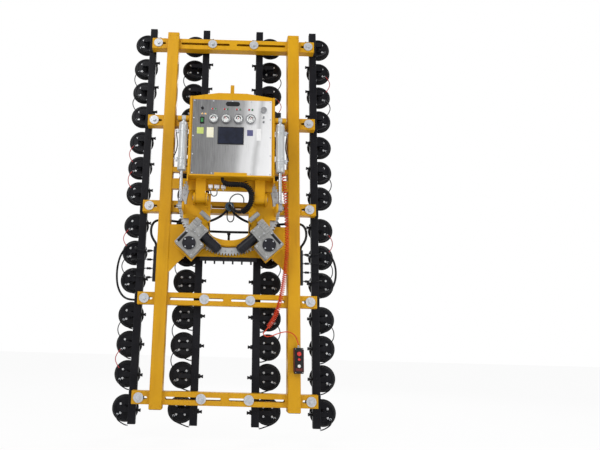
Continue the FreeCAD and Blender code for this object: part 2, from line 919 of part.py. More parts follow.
def build_drives():
    half = s.gearbox_length / 2
    box_front = plate_front - s.gearbox_depth
    body = drive_box(
        "gearbox_block", (-half, half), (box_front, plate_front),
        (-s.gearbox_breadth / 2, s.gearbox_breadth / 2))
    skin = rounded("gearbox_skin", body, s.gearbox_corner, "y")
    bore = drive_disc(
        "gearbox_bore", (plate_front - s.gearbox_depth / 2 - s.hinge_gap, plate_back),
        s.pinion_shaft_radius + s.running_play)
    gearbox = cut("gearbox_left", skin, bore)
    worm_middle = plate_front - s.gearbox_depth / 2
    worm_edge = s.gearbox_breadth / 2
    worm = drive_box(
        "worm_box_left", (-s.worm_box_back, s.worm_box_front),
        (worm_middle - s.worm_box_depth / 2, worm_middle + s.worm_box_depth / 2),
        (worm_edge, worm_edge + s.worm_box_breadth))
    sensor_x, sensor_z = in_drive(s.sensor_length / -2, drive_distance)
    sensor = doc.addObject("Part::Cylinder", "sensor_left")
    bind(sensor, "Radius", s.sensor_radius)
    bind(sensor, "Height", s.sensor_length)
    place(
        sensor, sensor_x - s.sensor_spread / 2, back(plate_front - s.sensor_stand),
        sensor_z - s.sensor_height, axis=Y_AXIS, angle=180 - s.drive_angle)
    stand = bar(
        "sensor_stand_left", "y", (back(plate_front - s.sensor_stand), back(plate_front)),
        s.sensor_radius / 2, (-s.sensor_spread / 2, up(-s.sensor_height)))
    held = fuse("sensor_held_left", sensor, stand)
    pieces = both("gearbox", gearbox) + both("worm_box", worm) + both("sensor", held)
    node("gearboxes", *pieces)

    motor_inward = worm_edge + s.worm_box_breadth / 2
    motor_ends = (s.worm_box_front, s.worm_box_front + s.motor_length)
    motor = drive_bar("motor_body", motor_ends, s.motor_radius, worm_middle, motor_inward)
    cap_ends = (motor_ends[1], motor_ends[1] + s.motor_cap_length)
    cap = drive_bar("motor_cap", cap_ends, s.motor_cap_radius, worm_middle, motor_inward)
    whole = fuse("motor_left", motor, cap)
    cover = drive_disc("gearbox_cover", (box_front - s.cover_height, box_front), s.cover_radius)
    node("drive_motors", *both("motor", whole), *both("gearbox_cover", cover))


# Tilt actuators, each drawn hanging straight down from its trunnion and then turned to its rod pin

actuator_drop = s.trunnion_height + s.rod_pin_drop
actuator_lean = slope_angle(s.trunnion_reach - s.rod_pin_reach, actuator_drop)
actuator_length = Size(
    math.hypot(float(actuator_drop), float(s.rod_pin_reach - s.trunnion_reach)),
    f"sqrt(pow({actuator_drop.formula}; 2) + pow({(s.rod_pin_reach - s.trunnion_reach).formula}; 2))")


def build_actuators():
    middle = (sized(0), sized(0))
    eye_x = around(sized(0), s.eye_width)
    for label, side in SIDES.items():
        spot_of_trunnion = (side * actuator_x, back(-s.trunnion_reach), up(s.trunnion_height))
        barrel_end = -s.barrel_start - s.barrel_length
        tube = bar(f"barrel_{label}_tube", "z", (barrel_end, -s.barrel_start), s.barrel_radius, middle)
        neck = bar(f"barrel_{label}_neck", "z", (-s.barrel_start, sized(0)), s.barrel_neck_radius, middle)
        eye = bar(f"barrel_{label}_eye", "x", eye_x, s.barrel_eye_radius, middle)
        hole_x = (eye_x[0] - s.hinge_gap, eye_x[1] + s.hinge_gap)
        hole = bar(f"barrel_{label}_hole", "x", hole_x, s.actuator_pin_radius + s.running_play, middle)
        bore = bar(
            f"barrel_{label}_bore", "z", (barrel_end - s.hinge_gap, -s.barrel_start - s.barrel_floor),
            s.rod_radius + s.running_play, middle)
        barrel = cut(f"barrel_{label}_whole", fuse(f"barrel_{label}_blank", tube, neck, eye), hole, bore)
        node(f"barrel_{label}", place(barrel, *spot_of_trunnion, axis=X_AXIS, angle=actuator_lean))

        rod_top = barrel_end + s.rod_overlap
        rod = bar(f"rod_{label}_bar", "z", (-actuator_length, rod_top), s.rod_radius, middle)
        rod_centre = (sized(0), -actuator_length)
        rod_eye = bar(f"rod_{label}_eye", "x", eye_x, s.rod_eye_radius, rod_centre)
        head_x = eye_x[1] + s.actuator_pin_head if side > 0 else eye_x[0] - s.actuator_pin_head
        pin_x = (eye_x[0], head_x) if side > 0 else (head_x, eye_x[1])
        pin = bar(f"rod_{label}_pin", "x", pin_x, s.actuator_pin_radius, rod_centre)
        whole = fuse(f"rod_{label}_whole", rod, rod_eye, pin)
        node(f"rod_{label}", place(whole, *spot_of_trunnion, axis=X_AXIS, angle=actuator_lean))


# Yoke: side plates, beams, lifting lug and cabinet

side_inner = s.cabinet_half_width
side_outer = s.cabinet_half_width + s.side_plate_thickness
actuator_x = side_outer + s.actuator_spread


def build_side_plates():
    """Plates in inverted L shape with the trunnion pins of the actuators."""
    brace_foot = s.cabinet_shoulder - s.top_beam_height - s.brace_height
    corners = [
        (back(-s.cabinet_front), up(s.side_plate_bottom)),
        (back(-s.cabinet_back), up(s.side_plate_bottom)),
        (back(-s.cabinet_back), up(brace_foot)),
        (back(-s.side_plate_back), up(s.cabinet_shoulder - s.top_beam_height)),
        (back(-s.side_plate_back), up(s.cabinet_shoulder)),
        (back(-s.cabinet_front), up(s.cabinet_shoulder)),
    ]
    plate = padded("side_plate_right", "YZ_Plane", corners, side_inner, s.side_plate_thickness)
    centre = (back(-s.trunnion_reach), up(s.trunnion_height))
    eye_start = actuator_x - s.eye_width / 2
    boss = bar("trunnion_boss", "x", (side_outer, eye_start - s.rod_lug_gap), s.boss_radius, centre)
    pin_stop = eye_start + s.eye_width + s.collar_length + s.actuator_pin_head
    pin = bar("trunnion_pin", "x", (side_outer, pin_stop), s.actuator_pin_radius, centre)
    collar_x = (eye_start + s.eye_width + s.rod_lug_gap, eye_start + s.eye_width + s.collar_length)
    collar = bar("trunnion_collar", "x", collar_x, s.collar_radius, centre)
    trunnion = fuse("trunnion_right", boss, pin, collar)
    whole = fuse("side_plate_and_trunnion", plate, trunnion)
    node("side_plates", whole, mirrored("side_plate_left", whole))


def build_yoke_beams():
    x = (-side_inner, side_inner)
    top = box(
        "top_beam", x, (back(-s.cabinet_back), back(-s.top_beam_back)),
        (up(s.cabinet_shoulder - s.top_beam_height), up(s.cabinet_shoulder)))
    beam_bottom = s.cabinet_bottom - s.lower_beam_height
    lower = box(
        "lower_beam_bar", x, (back(-s.lower_beam_front), back(-s.lower_beam_back)),
        (up(beam_bottom), up(s.cabinet_bottom)))
    centre = (back(-s.tilt_reach), up(s.tilt_height))
    arms = []
    for label, side in SIDES.items():
        arm_x = around(side * s.hinge_arm_centre, s.hinge_arm_width)
        depth = around(back(-s.tilt_reach), s.hinge_arm_depth)
        arm = box(f"hinge_arm_{label}_block", arm_x, depth, (up(s.tilt_height), up(s.cabinet_bottom)))
        knuckle = bar(f"hinge_arm_{label}_knuckle", "x", arm_x, s.knuckle_radius, centre)
        arms += [arm, knuckle]
    long_x = (-side_outer, side_outer)
    hole = bar("hinge_arm_hole", "x", long_x, s.tilt_pin_radius + s.running_play, centre)
    node("yoke_beams", top, cut("lower_beam", fuse("lower_beam_blank", lower, *arms), hole))


def build_lifting_lug():
    base = s.cabinet_shoulder
    x = around(sized(0), s.lug_thickness)
    corners = [
        (-s.lug_width / 2, up(base)),
        (s.lug_width / 2, up(base)),
        (s.lug_head_radius * 0.99, sized(-0.01)),
        (-s.lug_head_radius * 0.99, sized(-0.01)),
    ]
    plate = padded("lug_plate", "YZ_Plane", corners, x[0], s.lug_thickness)
    middle = (sized(0), sized(0))
    head = bar("lug_head", "x", x, s.lug_head_radius, middle)
    wider = (x[0] - s.hinge_gap, x[1] + s.hinge_gap)
    eye = bar("lug_eye", "x", wider, s.eye_radius, middle)
    node("lifting_lug", cut("lug_whole", fuse("lug_blank", plate, head), eye))


def cabinet_outline(inset):
    """Corners of the cabinet's front view, drawn in by a wall thickness."""
    half = s.cabinet_half_width - inset
    return [
        (-half, up(s.cabinet_bottom + inset)),
        (half, up(s.cabinet_bottom + inset)),
        (half, up(s.cabinet_shoulder - inset)),
        (s.crown_half_width, up(s.cabinet_crown - inset)),
        (-s.crown_half_width, up(s.cabinet_crown - inset)),
        (-half, up(s.cabinet_shoulder - inset)),
    ]


def build_cabinet():
    depth = s.cabinet_front - s.cabinet_back
    shell = padded("cabinet_shell", "XZ_Plane", cabinet_outline(0), back(-s.cabinet_front), depth)
    cavity = padded(
        "cabinet_cavity", "XZ_Plane", cabinet_outline(s.cabinet_wall),
        back(-s.cabinet_front + s.cabinet_wall), depth - 2 * s.cabinet_wall)
    opening_half = s.cabinet_half_width - s.panel_flange
    opening = box(
        "cabinet_opening", (-opening_half, opening_half),
        (back(-s.cabinet_front - s.cabinet_wall), back(-s.cabinet_front + 2 * s.cabinet_wall)),
        (up(s.cabinet_bottom + s.panel_flange), up(s.cabinet_shoulder - 2 * s.panel_flange)))
    node("cabinet_housing", cut("cabinet_whole", shell, cavity, opening))

    floor = up(s.cabinet_bottom + s.cabinet_wall)
    middle = -(s.cabinet_front + s.cabinet_back) / 2
    battery_x = around(s.cabinet_half_width / -2, s.battery_length)
    battery_top = floor + s.battery_height
    case = box("battery_case", battery_x, around(back(middle), s.battery_depth), (floor, battery_top))
    posts = []
    for label, side in SIDES.items():
        x = s.cabinet_half_width / -2 + side * s.battery_length / 4
        ends = (battery_top, battery_top + s.pump_foot)
        posts.append(bar(f"battery_post_{label}", "z", ends, s.actuator_pin_radius / 2, (x, back(middle))))
    node("battery", fuse("battery_whole", case, *posts))

    pump_x = around(s.cabinet_half_width / 2, s.pump_length)
    pump_z = floor + s.pump_foot + s.pump_radius
    drum = bar("pump_drum", "x", pump_x, s.pump_radius, (back(middle), pump_z))
    foot = box("pump_base", pump_x, around(back(middle), s.pump_radius), (floor, pump_z))
    head_x = around(s.cabinet_half_width / 2, s.pump_length / 3)
    head_z = (pump_z, pump_z + 2 * s.pump_radius)
    head = box("pump_head", head_x, around(back(middle), s.pump_radius), head_z)
    node("vacuum_pump", fuse("pump_whole", drum, foot, head))


# Control panel

panel_face = -s.cabinet_front - s.panel_thickness


def on_panel(name, x, height, radius, proud):
    """Disc standing on the panel's face."""
    return bar(name, "y", (back(panel_face - proud), back(panel_face)), radius, (x, up(height)))


def build_control_panel():
    sheet_metal = box(
        "panel_sheet", (-s.panel_half_width, s.panel_half_width), (back(panel_face), back(-s.cabinet_front)),
        (up(s.panel_bottom), up(s.panel_top)))
    behind = (back(panel_face - s.panel_thickness), back(-s.cabinet_front + s.panel_thickness))
    key_hole = bar(
        "key_hole", "y", behind, s.key_radius + s.running_play, (-s.left_column_x, up(s.key_height)))
    rocker_hole = box(
        "rocker_hole", around(-s.left_column_x, s.rocker_width + 2 * s.rocker_side_play), behind,
        around(up(s.rocker_height), s.rocker_length + 2 * s.rocker_end_play))
    node("control_panel", cut("panel_whole", sheet_metal, key_hole, rocker_hole))


def build_panel_fittings():
    gauges, lamps = [], []
    for number in range(4):
        x = s.gauge_pitch * (number - 1.5)
        case = on_panel(f"gauge_{number}_case", x, s.gauge_height, s.gauge_radius, s.gauge_depth)
        recess = bar(
            f"gauge_{number}_recess", "y",
            around(back(panel_face - s.gauge_depth), 2 * s.dial_recess),
            s.gauge_radius - s.gauge_rim, (x, up(s.gauge_height)))
        gauges.append(cut(f"gauge_{number}", case, recess))
        for label, side in SIDES.items():
            lamp_x = x + side * s.lamp_gap / 2
            lamp = on_panel(f"lamp_{number}_{label}", lamp_x, s.lamp_height, s.lamp_radius, s.lamp_depth)
            lamps.append(lamp)
    for number in range(2):
        x = -s.left_column_x + s.lamp_gap * number
        lamps.append(on_panel(f"amber_lamp_{number}", x, s.amber_height, s.lamp_radius, s.lamp_depth))
        height = s.gauge_height - s.toggle_pitch * (number - 0.5)
        lamps.append(on_panel(f"toggle_{number}", s.right_column_x, height, s.toggle_radius, s.toggle_depth))
    lamps.append(on_panel("charge_meter", s.right_column_x, s.lamp_height, s.meter_radius, s.meter_depth))
    hole_x = around(-s.left_column_x, s.rocker_width + 2 * s.rocker_side_play)
    hole_z = around(up(s.rocker_height), s.rocker_length + 2 * s.rocker_end_play)
    frame_y = (back(panel_face - s.bezel_depth), back(panel_face))
    frame = box(
        "bezel_block", (hole_x[0] - s.bezel_rim, hole_x[1] + s.bezel_rim), frame_y,
        (hole_z[0] - s.bezel_rim, hole_z[1] + s.bezel_rim))
    window = box("bezel_window", hole_x, (frame_y[0] - s.bezel_depth, frame_y[1] + s.bezel_depth), hole_z)
    pivot = bar(
        "rocker_pivot_pin", "x", (hole_x[0] - s.bezel_rim / 2, hole_x[1] + s.bezel_rim / 2), s.rocker_pivot,
        (back(panel_face - s.bezel_depth / 2), up(s.rocker_height)))
    lamps.append(fuse("rocker_mount", cut("rocker_bezel", frame, window), pivot))
    node("gauges", *gauges)
    node("panel_lamps", *lamps)


def build_panel_switches():
    centre = (-s.left_column_x, up(s.key_height))
    inside = back(-s.cabinet_front + 2 * s.panel_thickness)
    barrel = bar("key_barrel", "y", (back(panel_face - s.key_depth), inside), s.key_radius, centre)
    blade = box(
        "key_blade_plate", around(centre[0], s.panel_thickness),
        (back(panel_face - s.key_depth - s.key_blade), back(panel_face - s.key_depth)),
        around(centre[1], 2 * s.key_radius))
    node("key_switch", fuse("key_whole", barrel, blade))

    middle = panel_face - s.bezel_depth / 2
    rocker = box(
        "rocker_block", around(-s.left_column_x, s.rocker_width), around(back(middle), s.rocker_depth),
        around(up(s.rocker_height), s.rocker_length))
    block = rounded("rocker_rounded", rocker, s.rocker_depth / 4, "x")
    bore = bar(
        "rocker_bore", "x", around(-s.left_column_x, s.rocker_width + 2 * s.bezel_rim),
        s.rocker_pivot + s.running_play, (back(middle), up(s.rocker_height)))
    node("power_switch", cut("rocker_whole", block, bore))


# Pendant control with its curly cord

pendant_front = -s.pendant_back - s.pendant_depth
BUTTONS = {
    "stop_button": (s.stop_radius, s.stop_drop),
    "hold_button": (s.hold_radius, s.hold_drop),
    "release_button": (s.release_radius, s.release_drop),
}


def build_pendant():
    top = up(-s.pendant_top)
    block = box(
        "pendant_block", around(s.pendant_x, s.pendant_width), (back(pendant_front), back(-s.pendant_back)),
        (top - s.pendant_height, top))
    skin = rounded("pendant_skin", block, s.pendant_corner, "z")
    depth = -s.pendant_back - s.pendant_depth / 2
    relief = cone(
        "pendant_relief", "z", (top, top + s.relief_length), s.relief_radius, s.relief_radius / 2,
        (s.pendant_x, back(depth)))
    holes = []
    for label, (radius, drop) in BUTTONS.items():
        centre = (s.pendant_x, top - drop)
        hole_y = (back(pendant_front - s.hinge_gap), back(pendant_front + s.button_hole_depth))
        holes.append(bar(label + "_hole", "y", hole_y, radius + s.running_play, centre))
        stem_y = (back(pendant_front - s.button_proud), back(pendant_front + s.button_stem))
        button = bar(label + "_stem", "y", stem_y, radius, centre)
        if label == "stop_button":
            cap_y = (stem_y[0] - s.button_travel, back(pendant_front - s.button_travel - s.hinge_gap))
            cap = bar(label + "_cap", "y", cap_y, s.stop_cap_radius, centre)
            button = fuse(label + "_whole", button, cap)
        node(label, button)
    node("pendant_case", cut("pendant_whole", fuse("pendant_blank", skin, relief), *holes))


def build_cord_gland():
    """Socket on the right side plate that the curly cord hangs from."""
    bottom = up(s.gland_height)
    centre = (side_outer + s.gland_x, back(-s.gland_reach))
    nose = cone(
        "gland_nose", "z", (bottom, bottom + s.gland_length / 2), s.gland_radius / 2, s.gland_radius, centre)
    half = s.gland_base / 2
    block_z = (bottom + s.gland_length / 2, bottom + s.gland_length)
    block = box("gland_block", (side_outer, centre[0] + half), around(centre[1], s.gland_base), block_z)
    node("cord_gland", fuse("gland_whole", block, nose))


def biarc(start, heading, stop, finish):
    """Two tangent arcs from one point and direction to another."""
    chord, turn = stop - start, heading + finish
    spread = 2 * (1 - heading.dot(finish))
    along, reach = chord.dot(turn), chord.dot(chord)
    if spread < 1e-9:
        length = reach / (2 * along)
    else:
        length = (math.sqrt(along ** 2 + spread * reach) - along) / spread
    first, last = start + heading * length, stop - finish * length
    joint = (first + last) * 0.5
    return [arc_in_corner(start, first, joint), arc_in_corner(joint, last, stop)]


def arc_in_corner(start, corner, stop):
    """Arc that touches both legs of an equal-legged corner at their ends."""
    middle = (start + stop) * 0.5
    half_chord = (stop - start).Length / 2
    ratio = half_chord / (corner - start).Length
    if ratio > 1 - 1e-9:
        return Part.LineSegment(start, stop).toShape()
    return Part.Arc(start, middle + (corner - middle) * (ratio / (1 + ratio)), stop).toShape()


# Middle line of the curly stretch and of the plain lead, across, behind the column faces and high
CURLY_ROUTE = [
    (500, -195, 889), (503, -193, 760), (520, -180, 560), (551, -160, 380), (578, -142, 150),
    (597, -120, -90), (606, -92, -320), (605, -66, -520), (588, -52, -720), (560, -46, -900),
    (524, -46, -1060), (472, -48, -1190), (412, -50, -1268),
]
LEAD_ROUTE = [
    (366, -50, -1318), (382, -50, -1352), (440, -50, -1352), (520, -48, -1318), (600, -46, -1296),
    (668, -44, -1312), (712, -43, -1362), (725, -43, -1429),
]


def spline_through(route):
    curve = Part.BSplineCurve()
    curve.interpolate([spot(*point) for point in route])
    return curve


def build_spiral_cord():
    """Curly cord from the gland to the pendant as one unbroken tube."""
    radius, curl_radius = float(s.cord_radius), float(s.curl_radius)
    turns = int(float(s.curl_count))
    curly, lead = spline_through(CURLY_ROUTE), spline_through(LEAD_ROUTE)
    length = curly.length()

    def on_curl(turn):
        """Point of the curl, whose turns lie closer together further down."""
        share = turn / turns
        along = length * (1.35 * share - 0.35 * share * share)
        parameter = curly.parameterAtDistance(min(along, length), curly.FirstParameter)
        middle, heading = curly.value(parameter), curly.tangent(parameter)[0]
        across = (Y_AXIS - heading * heading.dot(Y_AXIS)).normalize()
        aside = heading.cross(across)
        opening = min(1.0, turn, turns - turn)
        swell = curl_radius * opening * opening * (3 - 2 * opening)
        angle = 2 * math.pi * turn
        return middle + across * (swell * math.cos(angle)) + aside * (swell * math.sin(angle))

    stations = [(spot(500, -195, s.gland_height), -Z_AXIS)]
    start = spot(500, -195, s.gland_height - 2 * s.cord_radius)
    stations.append((start, -Z_AXIS))
    small = 0.001
    for half in range(1, 2 * turns):
        turn = half / 2
        heading = (on_curl(turn + small) - on_curl(turn - small)).normalize()
        stations.append((on_curl(turn), heading))
    pieces = 16
    for number in range(pieces):
        parameter = lead.parameterAtDistance(lead.length() * number / pieces, lead.FirstParameter)
        stations.append((lead.value(parameter), lead.tangent(parameter)[0]))
    finish = up(-s.pendant_top + s.relief_length)
    end = Vector(float(s.pendant_x), float(back(-s.pendant_back - s.pendant_depth / 2)), float(finish))
    stations.append((end + Z_AXIS * (2 * radius), -Z_AXIS))
    stations.append((end, -Z_AXIS))
    edges = []
    for (first, heading), (last, ending) in zip(stations, stations[1:]):
        edges += biarc(first, heading, last, ending)
    path = Part.Wire(edges)
    solid = tube_along(path, radius)
    share = solid.Volume / (math.pi * radius ** 2 * path.Length)
    tightest = min(edge.Curve.Radius for edge in path.Edges if hasattr(edge.Curve, "Radius"))
    print(f"spiral_cord: length {path.Length:.0f} mm, volume share {share:.4f}", end=", ")
    print(f"least radius {tightest:.1f} mm")
    print(f"spiral_cord: least gap to itself {least_self_gap(edges, radius):.2f} mm")
    shaped("spiral_cord", solid)


def least_self_gap(edges, radius):
    """Smallest clear distance between stretches of the tube that are not neighbours along it."""
    points, walked = [], 0.0
    for edge in edges:
        points.append((walked, edge.valueAt((edge.FirstParameter + edge.LastParameter) / 2)))
        points.append((walked + edge.Length / 2, edge.valueAt(edge.LastParameter)))
        walked += edge.Length
    least = math.inf
    for index, (reached, point) in enumerate(points):
        for other_reached, other in points[index + 1:index + 60]:
            if other_reached - reached > 12 * radius:
                least = min(least, (other - point).Length - 2 * radius)
    return least


# Cup rails

RAILS = {
    "left_outer": (-1, s.outer_rail_spacing / 2),
    "left_inner": (-1, s.inner_rail_spacing / 2),
    "right_inner": (1, s.inner_rail_spacing / 2),
    "right_outer": (1, s.outer_rail_spacing / 2),
}
rail_front = s.column_depth + s.bracket_thickness
rail_back = rail_front + s.rail_depth
arm_back = rail_back + s.arm_depth
cup_plate_front = arm_back + s.stem_length
cup_plate_back = cup_plate_front + s.cup_plate_thickness
bay_middles = [
    CROSS_HEIGHTS[1] + s.top_bay / 2 - s.top_bay_drop,
    CROSS_HEIGHTS[2] + s.lower_bay / 2 + s.bay_rise,
    CROSS_HEIGHTS[3] + s.lower_bay / 2 + s.bay_rise,
    CROSS_HEIGHTS[4] + s.lower_bay / 2 + s.bay_rise,
]
CUP_HEIGHTS = [CROSS_HEIGHTS[0] + s.top_cup_rise]
for bay_middle in bay_middles:
    CUP_HEIGHTS += [bay_middle + s.cup_pitch, bay_middle, bay_middle - s.cup_pitch]
CUP_HEIGHTS.append(CROSS_HEIGHTS[-1] - s.bottom_cup_drop)


def build_rail(label, side, middle):
    """Box tube with a bracket plate and a clamp bolt at each cross member."""
    x = around(side * middle, s.rail_width)
    y = (back(rail_front), back(rail_back))
    z = (up(CROSS_HEIGHTS[-1] - s.rail_below), up(CROSS_HEIGHTS[0] + s.rail_above))
    skin = rounded(f"rail_{label}_skin", box(f"rail_{label}_block", x, y, z), s.rail_corner, "z")
    hollow = box(
        f"rail_{label}_hollow", (x[0] + s.rail_wall, x[1] - s.rail_wall),
        (y[0] + s.rail_wall, y[1] - s.rail_wall), (z[0] - s.rail_wall, z[1] - s.rail_wall))
    tube = cut(f"rail_{label}_tube", skin, hollow)

    bolt_x = side * (middle - s.clamp_inset)
    bracket_x = span(side, middle - s.clamp_inset - s.bracket_overhang, middle + s.rail_width / 2)
    bracket_y = (back(s.column_depth), back(rail_front))
    bracket = box(
        f"rail_{label}_bracket", bracket_x, bracket_y, around(up(sized(0)), s.bracket_height))
    deeper = (bracket_y[0] - s.hinge_gap, bracket_y[1] + s.hinge_gap)
    hole = bar(
        f"rail_{label}_hole", "y", deeper, s.clamp_bolt_radius + s.clamp_hole_play, (bolt_x, up(0)))
    holed = cut(f"rail_{label}_holed", bracket, hole)

    washer_front = cross_front - s.clamp_washer_thickness
    washer = bar(
        f"clamp_{label}_washer", "y", (back(washer_front), back(cross_front)), s.clamp_washer_radius,
        (bolt_x, up(0)))
    head = hexagon(
        f"clamp_{label}_head", (back(washer_front - s.clamp_head_height), back(washer_front)),
        s.clamp_head_radius, (bolt_x, up(0)))
    nut = hexagon(
        f"clamp_{label}_nut", (back(rail_front), back(rail_front + s.clamp_nut_height)),
        s.clamp_head_radius, (bolt_x, up(0)))
    shank = bar(
        f"clamp_{label}_shank", "y", (back(washer_front), back(rail_front + s.clamp_nut_height)),
        s.clamp_bolt_radius, (bolt_x, up(0)))
    clamp = fuse(f"clamp_{label}", washer, head, nut, shank)

    heights = [Vector(0, 0, float(height)) for height in CROSS_HEIGHTS]
    doc.recompute()
    shaped(f"rail_{label}", Part.makeCompound([tube.Shape] + copies([holed], heights)))
    shaped(f"clamp_bolts_{label}", Part.makeCompound(copies([clamp], heights)))


def build_cups(label, side, middle):
    """Arm, stem and plate of each cup, its rubber lip and its hose."""
    offset = s.cup_offset if label.endswith("outer") else s.inner_cup_offset
    centre_x = side * (middle + offset)
    centre = (centre_x, up(0))
    arm_x = span(side, middle - s.arm_tail, middle + offset + s.arm_overrun)
    arm = box(
        f"cup_{label}_arm", arm_x, (back(rail_back), back(arm_back)), around(up(sized(0)), s.arm_height))
    stem = bar(f"cup_{label}_stem", "y", (back(arm_back), back(cup_plate_front)), s.stem_radius, centre)
    plate = bar(
        f"cup_{label}_plate", "y", (back(cup_plate_front), back(cup_plate_back)), s.cup_plate_radius, centre)
    fitting_x = centre_x + side * s.cup_plate_radius * 0.62
    fitting_z = -s.cup_plate_radius * 0.5
    fitting_front = cup_plate_front - s.fitting_length
    fitting = bar(
        f"cup_{label}_fitting", "y", (back(fitting_front), back(cup_plate_front)), s.fitting_radius,
        (fitting_x, up(fitting_z)))
    inner_face = middle - s.rail_width / 2
    knob_y = back((rail_front + rail_back) / 2)
    knob = bar(
        f"cup_{label}_knob", "x", span(side, inner_face - s.knob_length, inner_face), s.knob_radius,
        (knob_y, up(0)))
    cap = bar(
        f"cup_{label}_cap", "x",
        span(side, inner_face - s.knob_length - s.knob_cap_length, inner_face - s.knob_length),
        s.knob_cap_radius, (knob_y, up(0)))
    holder = fuse(f"cup_{label}_holder", arm, stem, plate, fitting)
    latch = fuse(f"cup_{label}_latch", knob, cap)

    lip_back = cup_plate_back + s.lip_height
    bell = cone(
        f"lip_{label}_bell", "y", (back(cup_plate_back), back(lip_back)), s.lip_root_radius, s.cup_radius,
        centre)
    dish = cone(
        f"lip_{label}_dish", "y", (back(lip_back - s.dish_depth), back(lip_back)), s.dish_floor_radius,
        s.dish_radius, centre)
    lip = cut(f"lip_{label}", bell, dish)
    heights = [Vector(0, 0, float(height)) for height in CUP_HEIGHTS]
    shaped(f"cup_holders_{label}", Part.makeCompound(copies([holder, latch], heights)))
    shaped(f"cup_lips_{label}", Part.makeCompound(copies([lip], heights)))

    rail_side = float(side * (middle + s.rail_width / 2))
    start_x, start_z = float(fitting_x), float(fitting_z)
    depth = float(fitting_front)
    route = [
        (start_x, depth, start_z),
        (start_x, depth - 22, start_z),
        (start_x - 2 * side, depth - 44, start_z - 12),
        (start_x - 8 * side, depth - 60, start_z - 46),
        (rail_side + 52 * side, depth - 72, start_z - 84),
        (rail_side + 18 * side, depth - 84, start_z - 94),
        (rail_side, depth - 84, start_z - 94),
    ]
    points = [spot(x, y, z) for x, y, z in route]
    tube = hose(points, float(s.cup_hose_radius), f"cup_hose_{label}")
    pieces = []
    for height in heights:
        piece = tube.copy()
        piece.translate(height)
        pieces.append(piece)
    if label in LOOPS:
        bends = LOOPS[label]
        first, last = (abs(rail_side), *bends[0][1:]), (abs(rail_side), *bends[-1][1:])
        points = [spot(x * side, y, z) for x, y, z in [first] + bends + [last]]
        pieces.append(hose(points, float(s.loop_radius), f"side_loop_{label}"))
    shaped(f"cup_hoses_{label}", Part.makeCompound(pieces))


# Vacuum lines

OUTLET_COUNT = 4


def outlet_heights():
    top = -(s.manifold_top + s.manifold_bottom) / 2
    return [top + s.outlet_pitch * (1.5 - number) for number in range(OUTLET_COUNT)]


def build_manifolds():
    y = (back(s.manifold_inset), back(s.manifold_inset + s.manifold_depth))
    side_bar = box(
        "manifold_right", (column_outer, column_outer + s.manifold_thickness), y,
        (up(-s.manifold_bottom), up(-s.manifold_top)))
    pieces = both("manifold", side_bar)
    bar_y = (back(s.ring_plate_thickness), back(s.ring_plate_thickness + s.bar_depth))
    bar_top = s.bar_height - s.bar_drop
    hung = box(
        "manifold_bar", (-s.bar_half_length, s.bar_half_length), bar_y, (up(-s.bar_drop), up(bar_top)))
    outlets = []
    for number in range(int(float(s.bar_outlets))):
        x = s.bar_outlet_pitch * (number - (s.bar_outlets - 1) / 2)
        ends = (up(-s.bar_drop - s.bar_outlet_length), up(-s.bar_drop))
        middle = back(s.ring_plate_thickness + s.bar_depth / 2)
        outlets.append(bar(f"manifold_outlet_{number}", "z", ends, s.fitting_radius, (x, middle)))
    hanger = box(
        "manifold_hanger", (-s.bar_half_length, s.bar_half_length),
        (back(s.ring_plate_thickness), back(s.ring_plate_thickness + s.cross_wall)),
        (up(bar_top), up(-s.ring_plate_bottom + s.bar_height)))
    pieces.append(fuse("manifold_lower", hung, hanger, *outlets))
    node("manifolds", *pieces)

    centre = (sized(0), up(0))
    body = bar("union_body", "y", (back(-s.union_front), back(cross_front)), s.union_radius, centre)
    hub = bar("union_hub", "y", (back(-s.union_nose), back(-s.union_front)), s.union_hub_radius, centre)
    node("rotary_union", fuse("union_whole", body, hub))


# Hoses that stay with the frame: a loop over the union, a loop under it and a line between the columns
UNION_LOOP = [
    (0, 15, 46), (0, 15, 74), (14, 14, 108), (50, 14, 140), (98, 18, 150), (138, 32, 132), (154, 58, 108),
    (155, 77, 86), (155, 77, 65),
]
UNION_SAG = [
    (-18, 36, -42), (-24, 36, -80), (-23, 36, -118), (-13, 36, -146), (6, 37, -161), (28, 38, -157),
    (44, 42, -138), (50, 48, -110), (50, 60, -88), (50, 60, -65),
]
COLUMN_LINE = [(520, 46, -251), (320, 46, -262), (160, 45, -270)]
# Where the hoses from the manifold outlets bend round the outer rails, from manifold to cup
OUTLET_ENDS = [(1008, -424), (1046, -568), (1040, -690), (1000, -740)]
# Loops of hose beside the outer rails, outward from the middle
LOOPS = {
    "left_outer": [
        (1018, 206, -380), (1070, 214, -398), (1128, 226, -446), (1174, 234, -524), (1197, 238, -622),
        (1202, 240, -730), (1189, 238, -838), (1152, 230, -926), (1098, 218, -982), (1034, 206, -1002),
    ],
    "right_outer": [
        (1018, 206, -380), (1062, 213, -400), (1112, 223, -448), (1157, 231, -524), (1179, 234, -612),
        (1176, 234, -712), (1148, 230, -798), (1096, 218, -854), (1034, 206, -868),
    ],
}


